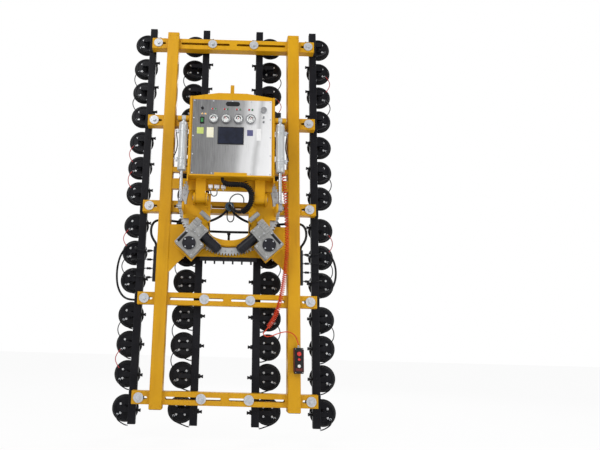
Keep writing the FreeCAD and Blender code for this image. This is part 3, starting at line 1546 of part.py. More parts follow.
def build_frame_hoses():
    """Lines from the union round the columns to the manifolds, and outlets round the outer rails."""
    outlet_start = float(column_outer + s.manifold_thickness)
    depth = float(s.manifold_inset + s.manifold_depth / 2)
    manifold_middle = float(column_outer + s.manifold_thickness / 2)
    rear, top = float(s.column_depth), float(-s.manifold_top)
    valve_start, valve_length = outlet_start + 20, float(s.check_valve_length)
    solids = []
    for label, side in SIDES.items():
        route = [
            (28, 18, -36), (52, 22, -72), (110, 42, -112), (190, 70, -146), (290, 96, -166),
            (400, 112, -166), (500, 132, -156), (580, rear + 18, -142), (670, rear + 28, -130),
            (746, rear + 23, -126),
            (812, rear - 6, -150), (842, rear - 22, -216), (838, depth + 6, -300), (806, depth + 1, -366),
            (manifold_middle, depth, top + 38),
            (manifold_middle, depth, top),
        ]
        points = [spot(x * side, y, z) for x, y, z in route]
        solids.append(hose(points, float(s.line_radius), f"frame_line_{label}"))
        for height, (end_x, end_z) in zip(outlet_heights(), OUTLET_ENDS):
            level = float(height)
            plate = float(cup_plate_front)
            route = [
                (outlet_start, depth, level), (880, depth, level),
                (960, depth + 6, level * 0.8 + end_z * 0.2), (1014, depth + 44, level * 0.5 + end_z * 0.5),
                (end_x + 6, depth + 112, level * 0.1 + end_z * 0.9), (end_x, depth + 160, end_z),
                (end_x, plate, end_z),
            ]
            points = [spot(x * side, y, z) for x, y, z in route]
            pipe = hose(points, float(s.outlet_hose_radius), f"outlet_{label}")
            swollen = Part.makeCylinder(
                float(s.check_valve_radius), valve_length, spot(valve_start * side, depth, level),
                X_AXIS * side)
            solids.append(pipe.fuse(swollen))
    solids.append(hose([spot(*point) for point in UNION_LOOP], float(s.branch_radius), "union_loop"))
    solids.append(hose([spot(*point) for point in UNION_SAG], float(s.branch_radius), "union_sag"))
    half = [(float(column_inner), *COLUMN_LINE[0][1:])] + COLUMN_LINE
    across = [(-x, y, z) for x, y, z in half] + list(reversed(half))
    line = hose([spot(*point) for point in across], float(s.line_radius), "column_line")
    tee_top, tee_bottom = half[-1][2], float(s.bar_height - s.bar_drop)
    tee = Part.makeCylinder(
        float(s.tee_radius), tee_top - tee_bottom, spot(0, half[-1][1], tee_bottom), Z_AXIS)
    solids.append(line.fuse(tee))
    shaped("frame_hoses", Part.makeCompound(solids))


def build_supply_hose():
    """Main vacuum hose from the cabinet's floor to the nose of the rotary union."""
    floor = float(s.cabinet_bottom)
    nose = float(s.union_nose + s.ball_play)
    front = -float(s.supply_reach)
    route = [
        (-86, front, floor), (-86, front, floor - 34), (-58, front, floor - 62), (0, front, floor - 70),
        (80, front, floor - 66), (150, front + 1, floor - 74), (206, front + 2, floor - 116),
        (224, front + 4, 50), (216, front + 10, -16), (184, front + 30, -72),
        (134, front + 62, -104), (82, front + 100, -98), (36, front + 136, -62),
        (6, -nose - 62, -24), (0, -nose - 34, 0), (0, -nose, 0),
    ]
    shaped("supply_hose", hose([spot(*point) for point in route], float(s.supply_radius), "supply_hose"))


def build_all():
    build_columns()
    build_cross_members()
    build_ring_mount()
    build_slewing_ring()
    build_pinions()
    build_carrier_plate()
    build_hinge_brackets()
    build_drives()
    build_actuators()
    build_side_plates()
    build_yoke_beams()
    build_lifting_lug()
    build_cabinet()
    build_control_panel()
    build_panel_fittings()
    build_panel_switches()
    build_pendant()
    build_cord_gland()
    build_spiral_cord()
    for label, (side, middle) in RAILS.items():
        build_rail(label, side, middle)
        build_cups(label, side, middle)
    build_manifolds()
    build_frame_hoses()
    build_supply_hose()
    doc.recompute()


def write_parts():
    """Check every object and write each sub-part's solids."""
    for item in doc.Objects:
        if "Invalid" in item.State or "Error" in item.State:
            raise RuntimeError(f"{item.Label} failed: {item.State}")
    for part in nodes:
        if part.Shape.isNull() or not part.Shape.isValid() or not part.Shape.Solids:
            raise RuntimeError(f"{part.Label} has no valid solid")
    os.makedirs("parts", exist_ok=True)
    for part in nodes:
        part.Shape.exportStep(f"parts/{part.Label}.step")
    print(f"{len(nodes)} sub-parts, {sum(len(part.Shape.Solids) for part in nodes)} solids")


build_all()
write_parts()
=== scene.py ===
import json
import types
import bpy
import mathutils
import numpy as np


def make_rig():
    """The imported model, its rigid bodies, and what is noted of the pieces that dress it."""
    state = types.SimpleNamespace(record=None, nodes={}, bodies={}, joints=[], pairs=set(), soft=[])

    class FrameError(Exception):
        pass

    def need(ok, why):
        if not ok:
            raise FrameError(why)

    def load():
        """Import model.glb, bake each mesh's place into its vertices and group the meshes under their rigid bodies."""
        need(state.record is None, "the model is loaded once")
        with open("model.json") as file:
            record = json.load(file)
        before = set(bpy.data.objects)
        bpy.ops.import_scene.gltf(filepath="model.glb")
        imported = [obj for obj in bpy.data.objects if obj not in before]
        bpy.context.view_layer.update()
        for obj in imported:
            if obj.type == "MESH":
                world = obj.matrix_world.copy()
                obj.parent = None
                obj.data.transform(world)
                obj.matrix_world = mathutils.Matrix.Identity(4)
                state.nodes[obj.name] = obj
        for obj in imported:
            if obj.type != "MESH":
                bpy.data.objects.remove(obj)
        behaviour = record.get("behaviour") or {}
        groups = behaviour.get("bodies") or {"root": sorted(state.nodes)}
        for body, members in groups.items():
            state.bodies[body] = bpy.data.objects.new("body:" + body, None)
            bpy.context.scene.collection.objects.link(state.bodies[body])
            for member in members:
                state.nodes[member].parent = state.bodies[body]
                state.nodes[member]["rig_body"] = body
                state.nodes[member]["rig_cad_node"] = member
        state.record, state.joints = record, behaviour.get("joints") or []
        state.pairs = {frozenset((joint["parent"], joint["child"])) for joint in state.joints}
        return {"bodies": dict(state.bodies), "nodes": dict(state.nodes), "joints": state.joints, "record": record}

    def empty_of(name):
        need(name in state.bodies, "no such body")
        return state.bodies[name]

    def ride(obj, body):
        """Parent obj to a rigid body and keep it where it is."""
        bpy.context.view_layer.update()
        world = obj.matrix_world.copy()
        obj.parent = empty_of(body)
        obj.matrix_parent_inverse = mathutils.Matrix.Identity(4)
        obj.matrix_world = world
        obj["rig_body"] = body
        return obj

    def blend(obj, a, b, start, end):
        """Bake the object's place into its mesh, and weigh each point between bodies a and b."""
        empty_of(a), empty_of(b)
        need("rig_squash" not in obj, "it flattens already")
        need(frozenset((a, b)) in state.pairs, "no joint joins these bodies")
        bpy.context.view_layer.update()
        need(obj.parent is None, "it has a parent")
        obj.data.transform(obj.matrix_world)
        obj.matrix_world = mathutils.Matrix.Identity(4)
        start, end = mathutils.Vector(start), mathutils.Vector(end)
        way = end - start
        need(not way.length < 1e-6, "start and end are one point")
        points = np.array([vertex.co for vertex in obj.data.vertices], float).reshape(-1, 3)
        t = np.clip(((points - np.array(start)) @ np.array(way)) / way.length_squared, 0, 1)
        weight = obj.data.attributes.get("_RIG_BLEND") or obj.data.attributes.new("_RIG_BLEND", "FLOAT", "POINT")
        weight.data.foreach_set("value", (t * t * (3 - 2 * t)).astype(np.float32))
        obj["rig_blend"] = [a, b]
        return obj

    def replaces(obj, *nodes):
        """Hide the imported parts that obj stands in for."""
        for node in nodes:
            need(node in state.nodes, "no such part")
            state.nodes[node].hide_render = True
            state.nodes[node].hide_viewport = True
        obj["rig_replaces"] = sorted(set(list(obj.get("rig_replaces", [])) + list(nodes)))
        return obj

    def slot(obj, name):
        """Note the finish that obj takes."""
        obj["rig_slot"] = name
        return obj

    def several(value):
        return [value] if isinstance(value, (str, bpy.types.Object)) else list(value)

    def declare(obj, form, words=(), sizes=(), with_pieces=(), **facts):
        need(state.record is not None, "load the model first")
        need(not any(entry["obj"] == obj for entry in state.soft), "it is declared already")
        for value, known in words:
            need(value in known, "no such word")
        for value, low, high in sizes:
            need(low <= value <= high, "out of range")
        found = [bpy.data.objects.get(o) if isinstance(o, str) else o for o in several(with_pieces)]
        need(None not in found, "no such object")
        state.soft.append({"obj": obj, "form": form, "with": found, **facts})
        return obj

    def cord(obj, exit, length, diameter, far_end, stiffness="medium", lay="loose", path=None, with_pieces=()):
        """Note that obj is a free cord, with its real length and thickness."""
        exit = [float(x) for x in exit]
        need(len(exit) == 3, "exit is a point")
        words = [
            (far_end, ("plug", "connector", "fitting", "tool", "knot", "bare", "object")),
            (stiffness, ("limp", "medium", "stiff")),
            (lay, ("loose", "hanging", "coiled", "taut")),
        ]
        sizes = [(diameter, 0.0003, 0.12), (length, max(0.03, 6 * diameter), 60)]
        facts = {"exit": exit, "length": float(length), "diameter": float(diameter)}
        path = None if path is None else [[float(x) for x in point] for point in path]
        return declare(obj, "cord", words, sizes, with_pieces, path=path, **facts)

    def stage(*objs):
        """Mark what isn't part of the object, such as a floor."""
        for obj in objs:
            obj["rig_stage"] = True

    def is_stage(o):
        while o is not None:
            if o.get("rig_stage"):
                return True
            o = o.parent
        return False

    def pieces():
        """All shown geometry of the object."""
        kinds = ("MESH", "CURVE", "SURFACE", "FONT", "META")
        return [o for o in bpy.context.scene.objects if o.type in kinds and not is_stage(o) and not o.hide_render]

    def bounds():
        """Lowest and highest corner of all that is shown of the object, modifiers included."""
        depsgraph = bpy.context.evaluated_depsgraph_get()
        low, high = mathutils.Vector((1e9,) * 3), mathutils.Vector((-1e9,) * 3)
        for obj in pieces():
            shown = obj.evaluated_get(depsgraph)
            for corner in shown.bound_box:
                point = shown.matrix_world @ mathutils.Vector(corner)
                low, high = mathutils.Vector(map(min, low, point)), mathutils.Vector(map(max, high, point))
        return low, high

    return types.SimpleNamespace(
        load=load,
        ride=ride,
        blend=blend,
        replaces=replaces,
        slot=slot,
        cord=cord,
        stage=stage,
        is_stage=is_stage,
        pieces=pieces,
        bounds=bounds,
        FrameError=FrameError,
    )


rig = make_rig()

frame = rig.load()
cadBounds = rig.bounds()

import bisect
import json
import math
import random

import bmesh
import bpy
from mathutils import Matrix, Vector

nodes = frame["nodes"]
print("frame loaded with", len(nodes), "nodes")

# places are given in millimetres: across, behind the column faces, above the ring's centre
rowShift = {"reach": 0.066, "height": 1.32}
sides = {"left": -1, "right": 1}
rails = {"left_outer": (-1, 940), "left_inner": (-1, 314), "right_inner": (1, 314), "right_outer": (1, 940)}
crossHeights = [1945, 990, 0, -990, -1980]
cupRows = {"top": 2083, "bays": (1456.5, 517, -473, -1463), "spacing": 308, "bottom": -2118}
cupHeights = [cupRows["top"]]
for bayMiddle in cupRows["bays"]:
    cupHeights += [bayMiddle + cupRows["spacing"], bayMiddle, bayMiddle - cupRows["spacing"]]
cupHeights.append(cupRows["bottom"])
forward, backward, upward = Vector((0, -1, 0)), Vector((0, 1, 0)), Vector((0, 0, 1))


def at(across, depth, height):
    return Vector((across / 1000, depth / 1000 + rowShift["reach"], height / 1000 - rowShift["height"]))


def outward(side):
    return Vector((side, 0, 0))


# finishes


texture = {
    "noiseRough": 0.55, "coatRough": 0.12, "mottled": (0.35, 0.7), "dulled": (0.3, 0.7), "wearScale": 26,
    "worn": (0.4, 0.62), "edge": (0.985, 0.80), "edgeSamples": 4,
}


def wire(tree, node, inputs):
    # links what is another node's output and sets the rest as it is
    for socket, value in inputs.items():
        if isinstance(value, bpy.types.NodeSocket):
            tree.links.new(value, node.inputs[socket])
        else:
            node.inputs[socket].default_value = value
    return node


def nodeOf(tree, kind, inputs):
    return wire(tree, tree.nodes.new("ShaderNode" + kind), inputs)


def mathOf(tree, operation, *inputs):
    node = tree.nodes.new("ShaderNodeMath")
    node.operation = operation
    return wire(tree, node, dict(enumerate(inputs))).outputs["Value"]


def noiseOf(tree, scale, detail=4, stretch=(1, 1, 1)):
    place = tree.nodes.new("ShaderNodeTexCoord")
    mapping = nodeOf(tree, "Mapping", {"Scale": stretch, "Vector": place.outputs["Object"]})
    return nodeOf(tree, "TexNoise", {
        "Scale": scale, "Detail": detail, "Roughness": texture["noiseRough"],
        "Vector": mapping.outputs["Vector"]}).outputs["Fac"]


def spreadOf(tree, value, lowIn, highIn, lowOut, highOut):
    return nodeOf(tree, "MapRange", {
        "From Min": lowIn, "From Max": highIn, "To Min": lowOut, "To Max": highOut,
        "Value": value}).outputs["Result"]


def mixOf(tree, factor, first, second):
    mix = tree.nodes.new("ShaderNodeMix")
    mix.data_type = "RGBA"
    first, second = ((*tone, 1) if isinstance(tone, tuple) else tone for tone in (first, second))
    return wire(tree, mix, {0: factor, 6: first, 7: second}).outputs[2]


def edgeWearAndHighlightOf(tree, radius):
    # painted edge wear and edge highlight, bright where a rounded normal leaves the true one, so on edges and corners
    bevel = nodeOf(tree, "Bevel", {"Radius": radius})
    bevel.samples = texture["edgeSamples"]
    geometry = tree.nodes.new("ShaderNodeNewGeometry")
    dot = tree.nodes.new("ShaderNodeVectorMath")
    dot.operation = "DOT_PRODUCT"
    wire(tree, dot, {0: bevel.outputs["Normal"], 1: geometry.outputs["Normal"]})
    return spreadOf(tree, dot.outputs["Value"], *texture["edge"], 0.0, 1.0)


def bumpOf(tree, strength, depth, height):
    return nodeOf(tree, "Bump", {"Strength": strength, "Distance": depth, "Height": height}).outputs["Normal"]


def newMaterial(name):
    material = bpy.data.materials.new(name)
    material.use_nodes = True
    return material, material.node_tree, material.node_tree.nodes["Principled BSDF"]


def finish(name, colour, metallic=0.0, rough=(0.4, 0.5), roughScale=9.0, specular=0.5, coat=0.0,
           mottle=None, streak=None, edges=None, grain=None):
    material, tree, shader = newMaterial(name)
    wire(tree, shader, {
        "Metallic": metallic, "Specular IOR Level": specular, "Coat Weight": coat,
        "Coat Roughness": texture["coatRough"], "Base Color": (*colour, 1),
        "Roughness": spreadOf(tree, noiseOf(tree, roughScale), *texture["dulled"], *rough)})
    tone = colour
    if mottle:
        scale, other = mottle
        tone = mixOf(tree, spreadOf(tree, noiseOf(tree, scale, 6), *texture["mottled"], 0, 1), tone, other)
    if streak:
        lines = noiseOf(tree, streak["scale"], 5, streak["stretch"])
        amount = spreadOf(tree, lines, streak["low"], streak["high"], 0, streak["amount"])
        tone = mixOf(tree, amount, tone, streak["colour"])
    # edges: painted edge wear and edge highlight, a lighter tone on edges and corners in noise patches
    if edges:
        radius, least, most, bright = edges
        patches = spreadOf(tree, noiseOf(tree, texture["wearScale"], 5), *texture["worn"], least, most)
        tone = mixOf(tree, mathOf(tree, "MULTIPLY", edgeWearAndHighlightOf(tree, radius), patches), tone, bright)
    if tone is not colour:
        wire(tree, shader, {"Base Color": tone})
    if grain:
        scale, strength, depth, *stretch = grain
        wire(tree, shader, {"Normal": bumpOf(tree, strength, depth, noiseOf(tree, scale, 3, *stretch))})
    return material


# mottle is a scale and a colour, edges are a radius, the least and most wear and a colour for the painted edge wear
# and highlight, grain is a scale, a strength, a depth and, where it runs one way, a stretch
finishSettings = {
    "amberPaint": dict(
        colour=(0.63, 0.326, 0.005), rough=(0.30, 0.46), roughScale=5.0, specular=0.22,
        mottle=(2.4, (0.56, 0.274, 0.004)),
        streak={"scale": 7.0, "stretch": (3, 3, 0.22), "low": 0.56, "high": 0.78, "amount": 0.35,
                "colour": (0.36, 0.155, 0.004)},
        edges=(0.005, 0.05, 0.5, (0.72, 0.40, 0.03)), grain=(260, 0.12, 0.0006)),
    "railCoat": dict(
        colour=(0.005, 0.005, 0.007), rough=(0.30, 0.48), specular=0.09, mottle=(4.0, (0.011, 0.011, 0.014)),
        edges=(0.004, 0.1, 0.5, (0.05, 0.05, 0.055)), grain=(520, 0.15, 0.0005)),
    "cupCoat": dict(
        colour=(0.004, 0.004, 0.006), rough=(0.16, 0.30), specular=0.10, mottle=(11.0, (0.012, 0.012, 0.015)),
        edges=(0.003, 0.2, 0.7, (0.07, 0.07, 0.075)), grain=(480, 0.1, 0.0004)),
    "lipRubber": dict(
        colour=(0.005, 0.005, 0.006), rough=(0.36, 0.56), specular=0.10, mottle=(14.0, (0.014, 0.014, 0.014)),
        grain=(700, 0.2, 0.0004)),
    "hoseRubber": dict(
        colour=(0.005, 0.005, 0.006), rough=(0.30, 0.46), specular=0.12, mottle=(8.0, (0.013, 0.013, 0.015)),
        grain=(900, 0.12, 0.0003)),
    "zincPlate": dict(
        colour=(0.50, 0.515, 0.54), metallic=0.6, rough=(0.30, 0.48), roughScale=40,
        mottle=(45.0, (0.38, 0.395, 0.42)), edges=(0.004, 0.3, 0.8, (0.70, 0.72, 0.75)),
        grain=(180, 0.1, 0.0003)),
    # lighter copy of the zinc, a painted highlight so that bolts stay bright where they are shaded
    "zincPaintedHighlight": dict(
        colour=(0.66, 0.67, 0.68), metallic=0.35, rough=(0.26, 0.40), roughScale=50,
        mottle=(50.0, (0.54, 0.55, 0.57)), edges=(0.002, 0.2, 0.6, (0.82, 0.82, 0.83))),
    "ringSteel": dict(
        colour=(0.42, 0.43, 0.44), metallic=0.75, rough=(0.26, 0.42), roughScale=30,
        mottle=(16.0, (0.35, 0.35, 0.36)), edges=(0.003, 0.3, 0.8, (0.75, 0.75, 0.76)),
        grain=(300, 0.12, 0.0003, (0.2, 6, 0.2))),
    "gearboxCast": dict(
        colour=(0.30, 0.30, 0.295), metallic=0.2, rough=(0.38, 0.58), roughScale=24, specular=0.3,
        mottle=(22.0, (0.21, 0.21, 0.205)), edges=(0.005, 0.3, 0.9, (0.66, 0.66, 0.65)),
        grain=(210, 0.28, 0.0008)),
    "motorBlack": dict(
        colour=(0.008, 0.008, 0.011), rough=(0.26, 0.42), specular=0.18, mottle=(18.0, (0.016, 0.016, 0.021)),
        edges=(0.003, 0.1, 0.5, (0.07, 0.07, 0.08)), grain=(420, 0.12, 0.0004)),
    "barrelGrey": dict(
        colour=(0.46, 0.475, 0.48), metallic=0.25, rough=(0.24, 0.38), roughScale=14, specular=0.3,
        streak={"scale": 30, "stretch": (2.4, 2.4, 0.2), "low": 0.45, "high": 0.75, "amount": 0.5,
                "colour": (0.26, 0.275, 0.28)},
        grain=(300, 0.08, 0.0003, (3, 3, 0.2))),
    "rodChrome": dict(
        colour=(0.34, 0.345, 0.36), metallic=0.6, rough=(0.12, 0.22), roughScale=40,
        mottle=(30.0, (0.27, 0.275, 0.29))),
    "pinSteel": dict(
        colour=(0.30, 0.30, 0.315), metallic=0.8, rough=(0.26, 0.42), roughScale=60,
        mottle=(40.0, (0.22, 0.22, 0.235))),
    "caseBlack": dict(
        colour=(0.008, 0.008, 0.009), rough=(0.40, 0.58), specular=0.2, mottle=(30.0, (0.015, 0.015, 0.017)),
        grain=(900, 0.25, 0.0004)),
    "unionBlue": dict(
        colour=(0.028, 0.07, 0.11), metallic=0.35, rough=(0.28, 0.45), roughScale=40,
        mottle=(35.0, (0.02, 0.045, 0.07)), edges=(0.003, 0.3, 0.8, (0.22, 0.30, 0.36))),
    "cordOrange": dict(
        colour=(0.66, 0.052, 0.010), rough=(0.34, 0.48), specular=0.3, mottle=(20.0, (0.52, 0.034, 0.008)),
        grain=(800, 0.08, 0.0003)),
    "redGloss": dict(
        colour=(0.62, 0.016, 0.012), rough=(0.16, 0.26), coat=0.4, mottle=(40.0, (0.52, 0.010, 0.008))),
    "greenGloss": dict(
        colour=(0.010, 0.20, 0.035), rough=(0.16, 0.26), coat=0.4, mottle=(40.0, (0.006, 0.14, 0.025))),
    "amberGloss": dict(
        colour=(0.95, 0.52, 0.12), rough=(0.16, 0.26), coat=0.4, mottle=(40.0, (0.98, 0.66, 0.30))),
    "whiteGloss": dict(
        colour=(0.80, 0.80, 0.79), rough=(0.20, 0.32), coat=0.3, mottle=(40.0, (0.72, 0.72, 0.71))),
    "dialWhite": dict(colour=(0.78, 0.78, 0.77), rough=(0.45, 0.6), mottle=(20.0, (0.72, 0.72, 0.71))),
    "inkBlack": dict(
        colour=(0.007, 0.007, 0.008), rough=(0.35, 0.5), specular=0.2, mottle=(30.0, (0.013, 0.013, 0.015))),
    "screenDark": dict(
        colour=(0.006, 0.008, 0.018), rough=(0.10, 0.18), specular=0.25,
        mottle=(12.0, (0.012, 0.016, 0.036))),
    "dialGrey": dict(colour=(0.27, 0.27, 0.28), rough=(0.35, 0.5), specular=0.3),
    "labelLime": dict(colour=(0.52, 0.60, 0.16), rough=(0.4, 0.55), mottle=(60.0, (0.44, 0.52, 0.12))),
    "labelCream": dict(colour=(0.74, 0.70, 0.48), rough=(0.4, 0.55), mottle=(60.0, (0.78, 0.76, 0.66))),
    "labelIndigo": dict(colour=(0.06, 0.06, 0.16), rough=(0.4, 0.55), mottle=(60.0, (0.09, 0.09, 0.20))),
    "labelWhite": dict(colour=(0.78, 0.78, 0.78), rough=(0.4, 0.55), mottle=(60.0, (0.72, 0.71, 0.71))),
    "plugBlack": dict(
        colour=(0.008, 0.008, 0.009), rough=(0.5, 0.66), specular=0.18, mottle=(25.0, (0.014, 0.014, 0.016)),
        grain=(600, 0.2, 0.0004)),
    "guardRed": dict(
        colour=(0.075, 0.012, 0.012), rough=(0.4, 0.55), specular=0.25, mottle=(30.0, (0.12, 0.016, 0.014)),
        grain=(700, 0.15, 0.0003)),
    "tubeRed": dict(colour=(0.50, 0.020, 0.024), rough=(0.3, 0.42), mottle=(30.0, (0.38, 0.014, 0.016))),
}

# brush lines of the panel and its painted reflection, a ramp of dark and light tones across the sheet
panelBrushAndReflection = {
    "reflectionTones": [(0.0, 0.10), (0.22, 0.125), (0.45, 0.20), (0.58, 0.30), (0.66, 0.58), (0.76, 0.68),
              (0.81, 0.44), (0.86, 0.70), (1.0, 0.78)],
    "left": -0.43, "right": 0.43, "middle": 0.68, "lean": 0.10, "sway": 0.10, "brushed": (7, 1, 0.10),
}


def brushedPanelWithPaintedReflection():
    # stainless sheet brushed upwards, with a painted reflection: darker on the left and brighter on the right
    material, tree, shader = newMaterial("panelSteel")
    lines = noiseOf(tree, 60, 3, panelBrushAndReflection["brushed"])
    place = tree.nodes.new("ShaderNodeTexCoord")
    apart = nodeOf(tree, "SeparateXYZ", {"Vector": place.outputs["Object"]})
    leant = mathOf(tree, "MULTIPLY_ADD", apart.outputs["Z"], -panelBrushAndReflection["lean"], apart.outputs["X"])
    swayed = mathOf(tree, "MULTIPLY_ADD", noiseOf(tree, 2.2, 3), panelBrushAndReflection["sway"], leant)
    shift = 0.5 * panelBrushAndReflection["sway"] + panelBrushAndReflection["middle"] * panelBrushAndReflection["lean"]
    along = spreadOf(tree, swayed, panelBrushAndReflection["left"] + shift, panelBrushAndReflection["right"] + shift, 0, 1)
    # painted reflection: the ramp's tones darken the left and lighten the right of the panel
    ramp = nodeOf(tree, "ValToRGB", {"Fac": along})
    stops = ramp.color_ramp.elements
    while len(stops) < len(panelBrushAndReflection["reflectionTones"]):
        stops.new(0.5)
    for stop, (share, tone) in zip(stops, panelBrushAndReflection["reflectionTones"]):
        stop.position = share
        stop.color = (tone, tone, tone * 1.01, 1)
    bright = spreadOf(tree, lines, *texture["mottled"], 0, 0.16)
    wire(tree, shader, {
        "Metallic": 0.8, "Base Color": mixOf(tree, bright, ramp.outputs["Color"], (0.8, 0.8, 0.8)),
        "Roughness": spreadOf(tree, lines, *texture["dulled"], 0.26, 0.44),
        "Normal": bumpOf(tree, 0.06, 0.0003, lines)})
    return material


def clearGlass():
    material, tree, shader = newMaterial("dialGlass")
    wire(tree, shader, {
        "Base Color": (0.96, 0.98, 0.98, 1), "Transmission Weight": 1.0, "IOR": 1.25,
        "Roughness": spreadOf(tree, noiseOf(tree, 30, 3), *texture["dulled"], 0.02, 0.06)})
    return material


finishes = {name: finish(name, **settings) for name, settings in finishSettings.items()}
finishes["panelSteel"] = brushedPanelWithPaintedReflection()
finishes["dialGlass"] = clearGlass()

nodeFinishes = {
    "amberPaint": ["column_left", "column_right", "cross_members", "cross_stubs", "ring_mount",
                   "carrier_plate", "slew_inner_ring", "hinge_brackets", "side_plates", "yoke_beams",
                   "lifting_lug", "cabinet_housing"],
    "ringSteel": ["slew_outer_ring", "slew_balls", "pinion_left", "pinion_right"],
    "gearboxCast": ["gearboxes"],
    "motorBlack": ["drive_motors", "manifolds", "battery"],
    "barrelGrey": ["barrel_left", "barrel_right", "vacuum_pump"],
    "rodChrome": ["rod_left", "rod_right"],
    "pinSteel": ["tilt_pins"],
    "panelSteel": ["control_panel"],
    "inkBlack": ["gauges", "panel_lamps"],
    "caseBlack": ["pendant_case", "cord_gland", "key_switch"],
    "unionBlue": ["rotary_union"],
    "redGloss": ["stop_button", "hold_button"],
    "whiteGloss": ["release_button"],
    "greenGloss": ["power_switch"],
    "railCoat": ["rail_" + rail for rail in rails],
    "zincPlate": ["clamp_bolts_" + rail for rail in rails],
    "cupCoat": ["cup_holders_" + rail for rail in rails],
    "lipRubber": ["cup_lips_" + rail for rail in rails],
    "hoseRubber": ["cup_hoses_" + rail for rail in rails] + ["frame_hoses", "supply_hose"],
    "cordOrange": ["spiral_cord"],
}
for look, names in nodeFinishes.items():
    for name in names:
        nodes[name].data.materials.clear()
        nodes[name].data.materials.append(finishes[look])
print("finishes on", sum(len(names) for names in nodeFinishes.values()), "nodes")


# mesh making


def meshes(count):
    return [bmesh.new() for number in range(count)]


def axesFor(heading):
    heading = heading.normalized()
    helper = upward if abs(heading.z) < 0.9 else Vector((1, 0, 0))
    aside = heading.cross(helper).normalized()
    return aside, heading.cross(aside).normalized(), heading


def circle(mesh, centre, aside, over, radius, count, twist=0.0):
    turns = [twist + 2 * math.pi * step / count for step in range(count)]
    return [mesh.verts.new(centre + (aside * math.cos(turn) + over * math.sin(turn)) * radius)
            for turn in turns]


def skin(mesh, rings, capped=False):
    # faces between neighbouring rings, where a ring of one point is a tip
    for first, second in zip(rings, rings[1:]):
        count = max(len(first), len(second))
        for step in range(count):
            after = (step + 1) % count
            if len(first) == 1:
                corners = (first[0], second[after], second[step])
            elif len(second) == 1:
                corners = (first[step], first[after], second[0])
            else:
                corners = (first[step], first[after], second[after], second[step])
            mesh.faces.new(corners)
    if capped:
        mesh.faces.new(rings[0][::-1])
        mesh.faces.new(rings[-1])


def turned(mesh, profile, centre, heading, segments, twist=0.0):
    # profile holds (radius, along) in millimetres from the centre
    aside, over, ahead = axesFor(heading)
    rings = []
    for radius, along in profile:
        middle = centre + ahead * (along / 1000)
        if radius:
            rings.append(circle(mesh, middle, aside, over, radius / 1000, segments, twist))
        else:
            rings.append([mesh.verts.new(middle)])
    skin(mesh, rings)


def swept(mesh, points, radius, facets):
    # round tube along points in metres, carried without twist, with both ends closed
    aside = axesFor(points[1] - points[0])[0]
    rings = []
    for index, point in enumerate(points):
        before, after = points[max(index - 1, 0)], points[min(index + 1, len(points) - 1)]
        heading = (after - before).normalized()
        aside = (aside - heading * aside.dot(heading)).normalized()
        rings.append(circle(mesh, point, aside, heading.cross(aside), radius, facets))
    skin(mesh, rings, capped=True)


def block(mesh, low, high, ease, turn=None):
    # box between two corners in metres with its edges eased, in millimetres
    low, high = Vector(low), Vector(high)
    made = bmesh.ops.create_cube(mesh, size=1.0)["verts"]
    middle, size = (low + high) / 2, high - low
    for vert in made:
        vert.co = Vector((vert.co.x * size.x, vert.co.y * size.y, vert.co.z * size.z))
    edges = list(dict.fromkeys(edge for vert in made for edge in vert.link_edges))
    result = bmesh.ops.bevel(
        mesh, geom=edges, offset=ease / 1000, segments=2, profile=0.6, affect="EDGES")
    rounded = [vert for face in result["faces"] for vert in face.verts]
    place = Matrix.Translation(middle) if turn is None else turn
    for vert in dict.fromkeys(rounded + [vert for vert in made if vert.is_valid]):
        vert.co = place @ vert.co


def box(mesh, x, low, high, ease):
    # block whose corners are given beside a place across
    block(mesh, at(x + low[0], *low[1:]), at(x + high[0], *high[1:]), ease)


def raised(mesh, outline, thick, backed):
    # flat piece that stands out to the front, with or without a back
    lower = [mesh.verts.new(spot) for spot in outline]
    upper = [mesh.verts.new(spot + forward * thick) for spot in outline]
    skin(mesh, [lower, upper], backed)
    if not backed:
        mesh.faces.new(upper)


def plaque(mesh, centre, wide, tall, thick, corner):
    # upright plate with round corners, its back at the centre, in millimetres
    outline = []
    for sideX, sideZ, start in ((1, 1, 0), (-1, 1, 90), (-1, -1, 180), (1, -1, 270)):
        for step in range(7):
            angle = math.radians(start + 15 * step)
            across = sideX * (wide / 2 - corner) + corner * math.cos(angle)
            height = sideZ * (tall / 2 - corner) + corner * math.sin(angle)
            outline.append(centre + Vector((across, 0, height)) / 1000)
    raised(mesh, outline, thick / 1000, True)


def addObject(name, data):
    made = bpy.data.objects.new(name, data)
    bpy.context.scene.collection.objects.link(made)
    return made


def piece(name, mesh, body, look, slot, smooth=40, replaced=None):
    data = bpy.data.meshes.new(name)
    bmesh.ops.recalc_face_normals(mesh, faces=mesh.faces)
    mesh.to_mesh(data)
    mesh.free()
    made = addObject(name, data)
    data.materials.append(finishes[look])
    data.shade_smooth()
    data.set_sharp_from_angle(angle=math.radians(smooth))
    if isinstance(body, tuple):
        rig.blend(made, *body)  # one end follows one body, the other end its neighbour
    else:
        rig.ride(made, body)
    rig.slot(made, slot)
    if replaced:
        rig.replaces(made, replaced)
    return made


def smoothLine(route, steps):
    # points along the route's own spline, as Blender gives them
    curve = bpy.data.curves.new("routeLine", "CURVE")
    curve.dimensions = "3D"
    curve.resolution_u = steps
    spline = curve.splines.new("NURBS")
    spline.points.add(len(route) - 1)
    for knot, place in zip(spline.points, route):
        knot.co = (*place, 1)
    spline.order_u = 3
    spline.use_endpoint_u = True
    carrier = addObject("routeLine", curve)
    flat = bpy.data.meshes.new_from_object(carrier)
    points = [vert.co.copy() for vert in flat.vertices]
    bpy.data.objects.remove(carrier)
    bpy.data.curves.remove(curve)
    bpy.data.meshes.remove(flat)
    start = Vector(route[0])
    if (points[0] - start).length > (points[-1] - start).length:
        points.reverse()
    return points


def routeLine(route, steps=12, side=1):
    return smoothLine([at(x * side, y, z) for x, y, z in route], steps)


